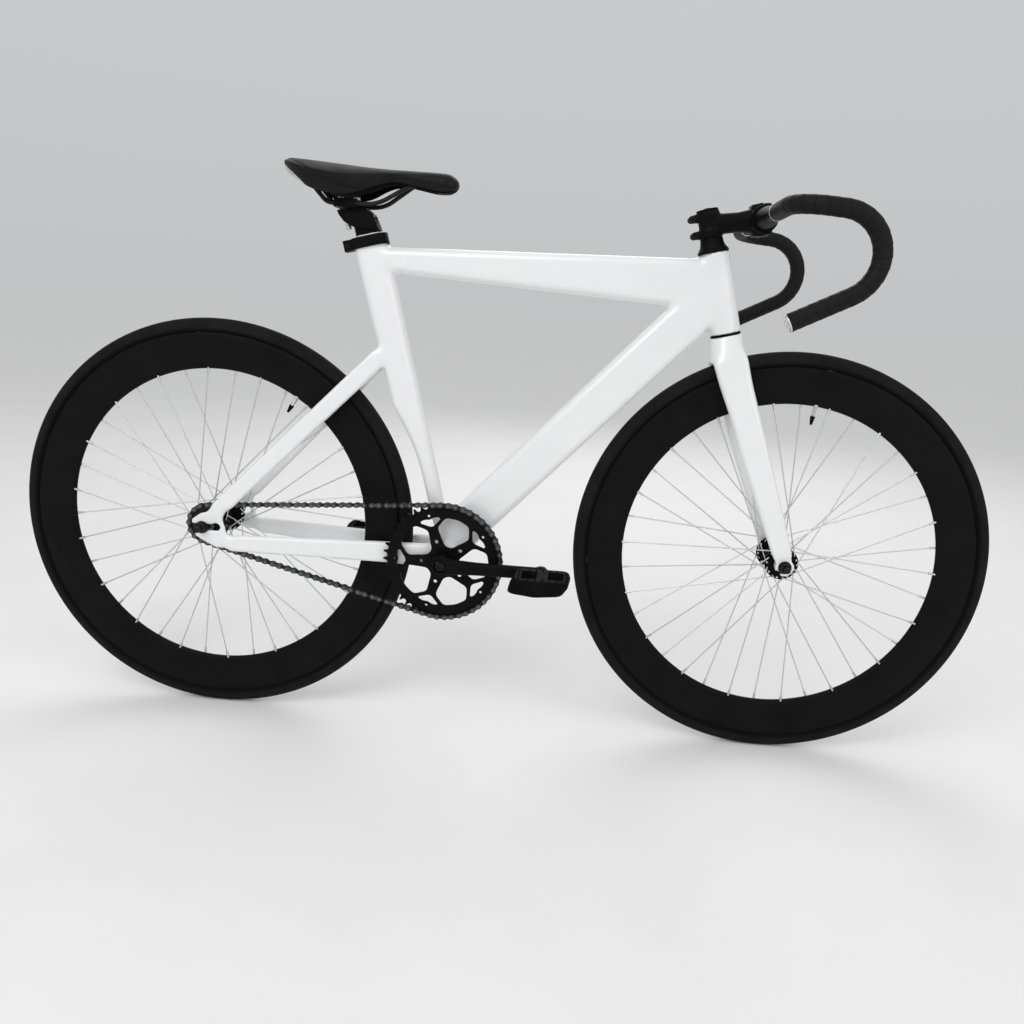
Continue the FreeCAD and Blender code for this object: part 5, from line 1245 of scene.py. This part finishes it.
def plate_piece(name, outline, holes, centre, thickness, edge, body, slot, *nodes, axes=(AHEAD, UP),
                reshape=None):
    """Flat plate with rounded edges, from an outline and holes given along its two axes."""
    guide = guide_curve(name + "_guide", [outline] + holes, True, dimensions="2D", fill_mode="BOTH",
                        extrude=thickness / 2 * MM)
    plate = in_scene(name, bpy.data.meshes.new_from_object(guide))
    bpy.data.objects.remove(guide)
    turn = Matrix((*axes, axes[0].cross(axes[1]))).transposed().to_4x4()
    plate.data.transform(Matrix.Translation(centre * MM) @ turn)
    work = opened(plate.data, 0.00002)
    flattened(work, 0.5)
    if reshape is not None:
        reshape(work)
    bmesh.ops.recalc_face_normals(work, faces=work.faces)
    closed(work, plate.data)
    edge_rounded(plate, edge, 2, 50.0)
    coat(plate, finish_of_slot[slot], 35.0)
    dress(plate, body, slot, *nodes)


def round_hole(centre, radius, steps=24):
    return [(centre[0] + radius * math.cos(FULL_TURN * step / steps),
             centre[1] + radius * math.sin(FULL_TURN * step / steps)) for step in range(steps)]


def on_ring(angle, spots):
    """Flat places (out along the angle, aside) turned to (ahead, up)."""
    turn = math.radians(angle)
    return [(out * math.cos(turn) - aside * math.sin(turn), out * math.sin(turn) + aside * math.cos(turn))
            for out, aside in spots]


def mirrored_outline(half):
    return half + [(out, -aside) for out, aside in reversed(half) if aside]


def make_chainring():
    """Five-armed ring whose arms fork to the rim, and its row of teeth."""
    wide_half = [(RING_RIM_INNER + 0.6, 0.0), (73.9, 20.4), (51.9, 28.1), (27.0, 6.0)]
    fork_half = [(75.0, 0.0), (77.0, 8.0), (75.6, 16.0), (72.0, 17.6), (62.5, 3.0)]
    wide_window = eased(mirrored_outline(wide_half), 6.5, 6)
    fork_window = eased(mirrored_outline(fork_half), 2.6, 4)
    middle = (0.0, 0.0)
    holes = [round_hole(middle, RING_BORE, 64)]
    for index in range(RING_ARMS):
        angle = 180.0 + index * 360.0 / RING_ARMS
        holes += [on_ring(angle + 180.0 / RING_ARMS, wide_window), on_ring(angle, fork_window)]
        holes += [round_hole(on_ring(angle, [(out, 0.0)])[0], radius)
                  for out, radius in ((36.0, 3.2), (81.5, 2.4))]
    centre = BRACKET + ACROSS * CHAIN_LINE
    plate_piece("forked_chainring", round_hole(middle, RING_RIM_OUTER, RING_STEPS), holes, centre,
                RING_THICKNESS, 0.6, "crank", "black_alloy", "chainring")
    radius = pitch_radius(RING_TEETH)
    first_gap, tooth_step = chain_places()[1], 360.0 / RING_TEETH
    gap = [(radius - TOOTH_GAP_RADIUS * math.cos(math.radians(turn)),
            TOOTH_GAP_RADIUS * math.sin(math.radians(turn))) for turn in (-55.0, -30.0, 0.0, 30.0, 55.0)]
    tip = [(radius + TOOTH_RISE, -TOOTH_TIP_HALF), (radius + TOOTH_RISE, TOOTH_TIP_HALF)]
    teeth = []
    for index in range(RING_TEETH):
        teeth += on_ring(first_gap + index * tooth_step, gap)
        teeth += on_ring(first_gap + (index + 0.5) * tooth_step, tip)
    plate_piece("chainring_teeth", teeth, [round_hole(middle, RING_RIM_OUTER - 5.0, RING_STEPS)], centre,
                TOOTH_THICKNESS, 0.3, "crank", "black_alloy")


CRANK_LENGTH, CRANK_FACE = 165.0, 74.0
CRANK_STATIONS = ((0.075, 27.0, 14.0), (0.16, 24.0, 13.8), (0.36, 21.0, 13.2), (0.80, 20.5, 11.8),
                  (1.0, 21.5, 11.0))
CRANK_BOSS_RADIUS, CRANK_BOSS_BORE, CRANK_EYE_RADIUS, CRANK_EYE_DEPTH = 17.0, 9.2, 12.5, 11.0
PEDAL_HALF = Vector((46.0, 33.0, 12.0))
PEDAL_MIDDLE = 113.0
PEDAL_LEAN, PEDAL_TAPER, PEDAL_KEEL, PEDAL_THINNING = 0.42, 0.05, 0.16, 0.30


def make_cranks():
    """Forged arms: an open boss for the bolt, a slim tapered arm and the pedal eye."""
    for side, sign, ahead, foot in (("right", -1, AHEAD, 38.4), ("left", 1, -AHEAD, 57.0)):
        out = ACROSS * sign
        profile = [(foot, CRANK_BOSS_BORE), (foot, CRANK_BOSS_RADIUS), (CRANK_FACE, CRANK_BOSS_RADIUS),
                   (CRANK_FACE, CRANK_BOSS_BORE)]
        boss = turned(BRACKET, profile, 64, out, UP)[:2]
        eye = BRACKET + ahead * CRANK_LENGTH
        stations = [(BRACKET + ahead * (CRANK_LENGTH * share) + out * (CRANK_FACE - thickness / 2),
                     thickness, depth) for share, depth, thickness in CRANK_STATIONS]
        arm = tube(stations, ACROSS, UP, 5.0)
        knuckle = rod(eye + out * (CRANK_FACE - CRANK_EYE_DEPTH), eye + out * CRANK_FACE, CRANK_EYE_RADIUS)
        welded("forged_crank_" + side, [boss, arm, knuckle], "crank", "black_alloy", "crank_arm_" + side,
               voxel=1.0, reach=7.0, passes=24)


def divided(ring, longest):
    """Closed outline with points added so that no side is longer than given."""
    made = []
    for index, corner in enumerate(ring):
        start, end = Vector(corner), Vector(ring[(index + 1) % len(ring)])
        steps = max(1, math.ceil((end - start).length / longest))
        made += [start.lerp(end, step / steps) for step in range(steps)]
    return made


def pedal_form(spot):
    """Place on the pedal, leaned so that its upper face lies ahead, thinner underneath towards the ends."""
    rise = (spot.z / PEDAL_HALF.z) ** 2
    thin = 1 + (PEDAL_KEEL - PEDAL_THINNING * abs(spot.x / PEDAL_HALF.x) if spot.z < 0 else 0.0)
    return Vector((spot.x * (1 - PEDAL_TAPER * rise) + PEDAL_LEAN * spot.z, spot.y * (1 - PEDAL_TAPER * rise),
                   spot.z * thin))


def make_pedals():
    """Platform pedals: two windows, walls that slope from a middle edge and grip studs on both faces."""
    corners = [(-45.0, -22.0), (-38.0, -30.5), (0.0, -33.0), (38.0, -30.5), (45.0, -22.0), (46.0, 0.0),
               (43.0, 24.0), (36.0, 33.0), (-36.0, 33.0), (-43.0, 24.0), (-46.0, 0.0)]
    outline = divided(eased(corners, 6.0), 8.0)
    window = eased([(9.0, -20.0), (35.0, -20.0), (35.0, 20.0), (9.0, 20.0)], 6.0, 5)
    rows = [(end * 39.5, step * 10.0) for end in (-1, 1) for step in (-2, -1, 0, 1, 2)]
    rows += [(step * 11.5, edge * 25.5) for edge in (-1, 1) for step in (-2, -1, 0, 1, 2)]
    for side, sign, ahead in (("right", -1, 1), ("left", 1, -1)):
        centre = BRACKET + AHEAD * (ahead * CRANK_LENGTH) + ACROSS * (sign * PEDAL_MIDDLE)

        def slope_walls(work):
            bmesh.ops.bisect_plane(work, geom=work.verts[:] + work.edges[:] + work.faces[:],
                                   plane_co=centre * MM, plane_no=UP)
            for vert in work.verts:
                vert.co = (centre + pedal_form(vert.co / MM - centre)) * MM

        plate_piece("platform_pedal_" + side, outline, [window, [(-x, y) for x, y in window]], centre,
                    2 * PEDAL_HALF.z, 1.2, side + "_pedal", "black_plastic", "pedal_" + side,
                    axes=(AHEAD, ACROSS if sign < 0 else -ACROSS), reshape=slope_walls)
        studs = [(centre + pedal_form(Vector((along, aside, way * PEDAL_HALF.z))), UP * way, 1.7, 1.6)
                 for way in (-1, 1) for along, aside in rows]
        planted("grip_studs_" + side, unit_stud(), studs, finish_of_slot["black_plastic"], side + "_pedal",
                "black_plastic")


# Saddle
SADDLE_REAR, SADDLE_NOSE, SADDLE_WIDTH, SADDLE_HEIGHT = 96.0, 175.0, 142.0, 71.0
SADDLE_LENGTH_SHARES = (0.0, 0.03, 0.11, 0.22, 0.37, 0.48, 0.62, 0.75, 0.88, 0.955, 1.0)
SADDLE_HALF_SHARES = (0.30, 0.66, 0.92, 1.0, 0.80, 0.56, 0.36, 0.30, 0.28, 0.27, 0.26)
SADDLE_TOP_SHARES = (0.865, 0.912, 0.897, 0.868, 0.828, 0.798, 0.777, 0.770, 0.760, 0.745, 0.73)
SADDLE_LOW_SHARES = (0.72, 0.58, 0.38, 0.18, 0.13, 0.28, 0.47, 0.43, 0.345, 0.335, 0.335)
SADDLE_RINGS, CROWN_STEPS, FLANK_STEPS, BASE_STEPS = 128, 48, 20, 24
NOSE_ROUND_FROM, SEAM_TO, SEAM_DEPTH = 0.92, 0.52, 2.6
TRIM_ROWS, TRIM_SHARE = 15, 0.17
RAIL_RADIUS = 3.5
RAIL_SHAPE = ((105.0, 7.9, 35.5, 0.0), (50.75, 22.0, 0.0, 58.0), (-28.8, 22.0, 0.0, 16.0),
              (-59.5, 29.9, 35.5, 0.0))


def saddle_share(ring):
    return (1 - math.cos(math.pi * ring / SADDLE_RINGS)) / 2


def saddle_outline(share):
    """Section of the cover as (aside, rise), from the left shoulder over the crown and round the base."""
    half = SADDLE_WIDTH / 2 * through(SADDLE_LENGTH_SHARES, SADDLE_HALF_SHARES, share)
    top = SADDLE_HEIGHT * through(SADDLE_LENGTH_SHARES, SADDLE_TOP_SHARES, share)
    low = SADDLE_HEIGHT * through(SADDLE_LENGTH_SHARES, SADDLE_LOW_SHARES, share)
    if share > NOSE_ROUND_FROM:
        past = (share - NOSE_ROUND_FROM) / (1 - NOSE_ROUND_FROM)
        closing = math.sqrt(1 - 0.99 * past ** 2)
        middle = low + (top - low) * 0.5
        half, top, low = half * closing, middle + (top - middle) * closing, middle + (low - middle) * closing
    shoulder = low + (top - low) * 0.58
    seam = low + (top - low) * (0.87 - 1.75 * share)
    crown = arc_through((half, shoulder), (0.0, top), (-half, shoulder), CROWN_STEPS)
    flank = []
    for step in range(1, FLANK_STEPS + 1):
        down = step / (FLANK_STEPS + 1)
        flank.append((half * (1 - 0.14 * down) + 1.4 * math.sin(math.pi * down),
                      shoulder + (low - shoulder) * down))
    hollow = 0.55 * (top - low) * min(1.0, (1 - share) / 0.1)
    base = []
    for step in range(BASE_STEPS + 1):
        aside = 1 - 2 * step / BASE_STEPS
        base.append((half * 0.86 * aside, low + hollow * (1 - aside ** 6)))
    outline = crown + [(-out, rise) for out, rise in flank + base] + list(reversed(flank))
    if share > SEAM_TO:
        return outline
    creased = []
    for side, rise in outline:
        above = rise - seam
        panel = SEAM_DEPTH / (1 + math.exp(above / 1.2)) + SEAM_DEPTH * math.exp(-(above / 1.9) ** 2)
        reach = min(1.0, max(0.0, abs(side) / half - 0.35) / 0.3) * min(1.0, (SEAM_TO - share) / 0.06)
        creased.append((side - math.copysign(panel * reach, side), rise))
    return creased


def make_saddle():
    """Padded cover: crowned top, drawn-in flanks, a side panel below a slanting seam and a grey tail."""
    length = SADDLE_REAR + SADDLE_NOSE
    sections = []
    for ring in range(SADDLE_RINGS + 1):
        share = saddle_share(ring)
        sections.append([RAIL_LINE + Vector((length * share - SADDLE_REAR, side, rise))
                         for side, rise in saddle_outline(share)])
    points, faces = lofted(sections)
    right_end = CROWN_STEPS + FLANK_STEPS
    left_start = right_end + BASE_STEPS + 2
    trim = []
    for face in faces:
        ring, spot = divmod(face[0], len(sections[0]))
        rows = round(TRIM_ROWS * (1 - saddle_share(ring) / TRIM_SHARE))
        low_edge = right_end - rows < spot <= right_end or left_start <= spot < left_start + rows
        under = right_end < spot < left_start - 1
        trim.append(1 if len(face) == 4 and low_edge else 2 if under else 0)
    saddle = mesh_piece("padded_saddle", points, faces, [leather, grey_trim, tube_black], face_finish=trim)
    modify(saddle, "SMOOTH", factor=0.5, iterations=1)
    modify(saddle, "SUBSURF", levels=1, render_levels=1)
    applied(saddle)
    smooth(saddle.data, 180.0)
    dress(saddle, "seat", "saddle_leather", "saddle_cover")


def rail_tree():
    """Tree that bends a round rod along a line of points, each corner by its own radius."""
    tree, given = new_tree("bent_rails", Radius="Float")
    line = output(tree, "GeometryNodeMeshToCurve", {"Mesh": given["Geometry"]})
    inputs = {"Curve": line, "Count": 12, "Radius": carried(tree, "bend")}
    bent = output(tree, "GeometryNodeFilletCurve", inputs, mode="POLY")
    return close_tree(tree, given, swept(tree, bent, circle(tree, given["Radius"], 24)))


def make_rails():
    """Two saddle rails: level through the clamp, a wide bend up to the nose and a tight one to the tail."""
    points, bends, runs = [], [], []
    for side in (-1, 1):
        runs += [(len(points) + step, len(points) + step + 1) for step in range(len(RAIL_SHAPE) - 1)]
        points += [RAIL_LINE + Vector((along, side * aside, rise)) for along, aside, rise, _ in RAIL_SHAPE]
        bends += [bend * MM for _, _, _, bend in RAIL_SHAPE]
    rails = point_piece("bent_rails", points, runs, bend=bends)
    slot = slot_of_node["saddle_rails"]
    grow(rails, rail_tree(), Radius=RAIL_RADIUS * MM, Finish=finish_of_slot[slot])
    applied(rails)
    outward(rails.data)
    smooth(rails.data, 50.0)
    dress(rails, "seat", slot, "saddle_rails")


def make_seat_trim():
    """White lip of the seat tube above the collar, and the clamp's nut behind the post head."""
    stations = [(on_seat(COLLAR_TOP + height), 22.0 + spare, 40.0 + spare)
                for height, spare in ((1.2, -1.0), (1.2, 0.3), (2.8, 0.3), (2.8, -1.0))]
    lip = mesh_piece("seat_tube_lip", *tube(stations, ACROSS, SEAT_AHEAD, 10.0), [white_paint], 40.0)
    dress(lip, "frame", slot_of_node["seat_tube"])
    nut = [(0.0, 0.5), (0.0, 4.2), (10.0, 4.2), (14.0, 3.0), (14.0, 0.5)]
    turned_piece("clamp_nut", on_seat(COLLAR_TOP + 16.0, -29.0), nut, "seat", "bright_steel", steps=32,
                 ease=0.8, axis=SEAT_UP, radial=SEAT_AHEAD)


def soften_machined_parts():
    """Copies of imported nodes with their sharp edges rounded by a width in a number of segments."""
    for node, body, width, segments in (
            ("stem_faceplate", "steering", 0.8, 2), ("seatpost", "seat", 2.4, 4),
            ("saddle_clamp", "seat", 0.8, 2), ("seat_collar", "frame", 0.9, 3),
            ("fixed_cog", "rear_wheel", 0.4, 2), ("cog_lockring", "rear_wheel", 0.5, 2),
            ("rear_axle_nuts", "frame", 0.6, 2), ("front_axle_nuts", "steering", 0.6, 2)):
        name, slot = node + "_eased", slot_of_node[node]
        work = opened(frame["nodes"][node].data, 0.00002)
        flattened(work, 0.6)
        piece = in_scene(name, closed(work, bpy.data.meshes.new(name)))
        edge_rounded(piece, width, segments, 35.0)
        coat(piece, finish_of_slot[slot], 30.0)
        dress(piece, body, slot, node)


def dress_other_nodes():
    for name, node in frame["nodes"].items():
        finish = black_steel if name.endswith("_axle") else finish_of_slot[slot_of_node[name]]
        node.data.materials.clear()
        node.data.materials.append(finish)


# Studio
FLOOR_REACH, FLOOR_STEPS = 200.0, 96
LAMP_AIM = Vector((0, 0, 0.45))


def make_studio():
    edge = [(*spot, 0.0) for spot in round_hole((0.0, 0.0), FLOOR_REACH, FLOOR_STEPS)]
    floor = in_scene("floor", plain_mesh("floor", edge, faces=[tuple(range(FLOOR_STEPS))]))
    floor.data.materials.append(pale_floor())
    world = bpy.data.worlds.new("soft_room")
    world.use_nodes = True
    tree = world.node_tree
    direction = output(tree, "ShaderNodeTexCoord", out="Generated")
    height = output(tree, "ShaderNodeSeparateXYZ", {"Vector": direction}, "Z")
    sky = ramp(tree, height, (0.54, 0.545, 0.55), (0.69, 0.695, 0.70), 0.0, 1.0)
    feed(tree, tree.nodes["Background"], {"Color": sky})
    bpy.context.scene.world = world
    for name, spot, size, power in (("key", (-1.2, -2.6, 3.0), 2.2, 53.0),
                                    ("fill", (2.4, -2.2, 1.8), 2.0, 20.0),
                                    ("back", (0.4, 2.6, 2.6), 2.4, 28.0)):
        lamp = bpy.data.lights.new(name, "AREA")
        set_all(lamp, {"size": size, "energy": power})
        set_all(in_scene(name, lamp), {"location": spot, "rotation_mode": "QUATERNION", "rotation_quaternion":
                                       (LAMP_AIM - Vector(spot)).to_track_quat("-Z", "Y")})
    bpy.context.scene.view_settings.view_transform = "Standard"


def make_camera():
    """Camera at the photograph's place and framing, for a square image."""
    image = 1024.0
    focal, middle_x, middle_y = 800.0, 527.0, 484.0
    look = Vector((-0.0545, 0.9769, -0.2067)).normalized()
    right = Vector((0.9962, 0.0673, 0.0554))
    right = (right - look * right.dot(look)).normalized()
    camera = bpy.data.cameras.new("camera")
    camera.sensor_width = 36.0
    set_all(camera, {"lens": focal / image * camera.sensor_width, "shift_x": (image / 2 - middle_x) / image,
                     "shift_y": (middle_y - image / 2) / image, "clip_start": 0.05, "clip_end": 400.0})
    holder = in_scene("camera", camera)
    turn = Matrix((right, right.cross(look), -look)).transposed().to_4x4()
    holder.matrix_world = Matrix.Translation(Vector((0.1264, -1.3104, 0.7135))) @ turn
    bpy.context.scene.camera = holder


make_camera()
make_studio()
dress_other_nodes()
make_frame_skin()
make_fork_skin()
make_headset()
make_stem_skin()
make_bar_tape()
make_screws()
lacing = spoke_tree()
make_wheel("front", FRONT_AXLE, lacing, flange_side=33.0, flange_radius=27.0, end_side=38.0, drive_boss=16.0,
           valve_angle=83.0)
make_wheel("rear", REAR_AXLE, lacing, flange_side=32.0, flange_radius=31.0, end_side=50.0, drive_boss=17.48,
           valve_angle=57.5)
make_chain()
make_chainring()
make_cranks()
make_pedals()
make_saddle()
make_rails()
make_seat_trim()
soften_machined_parts()
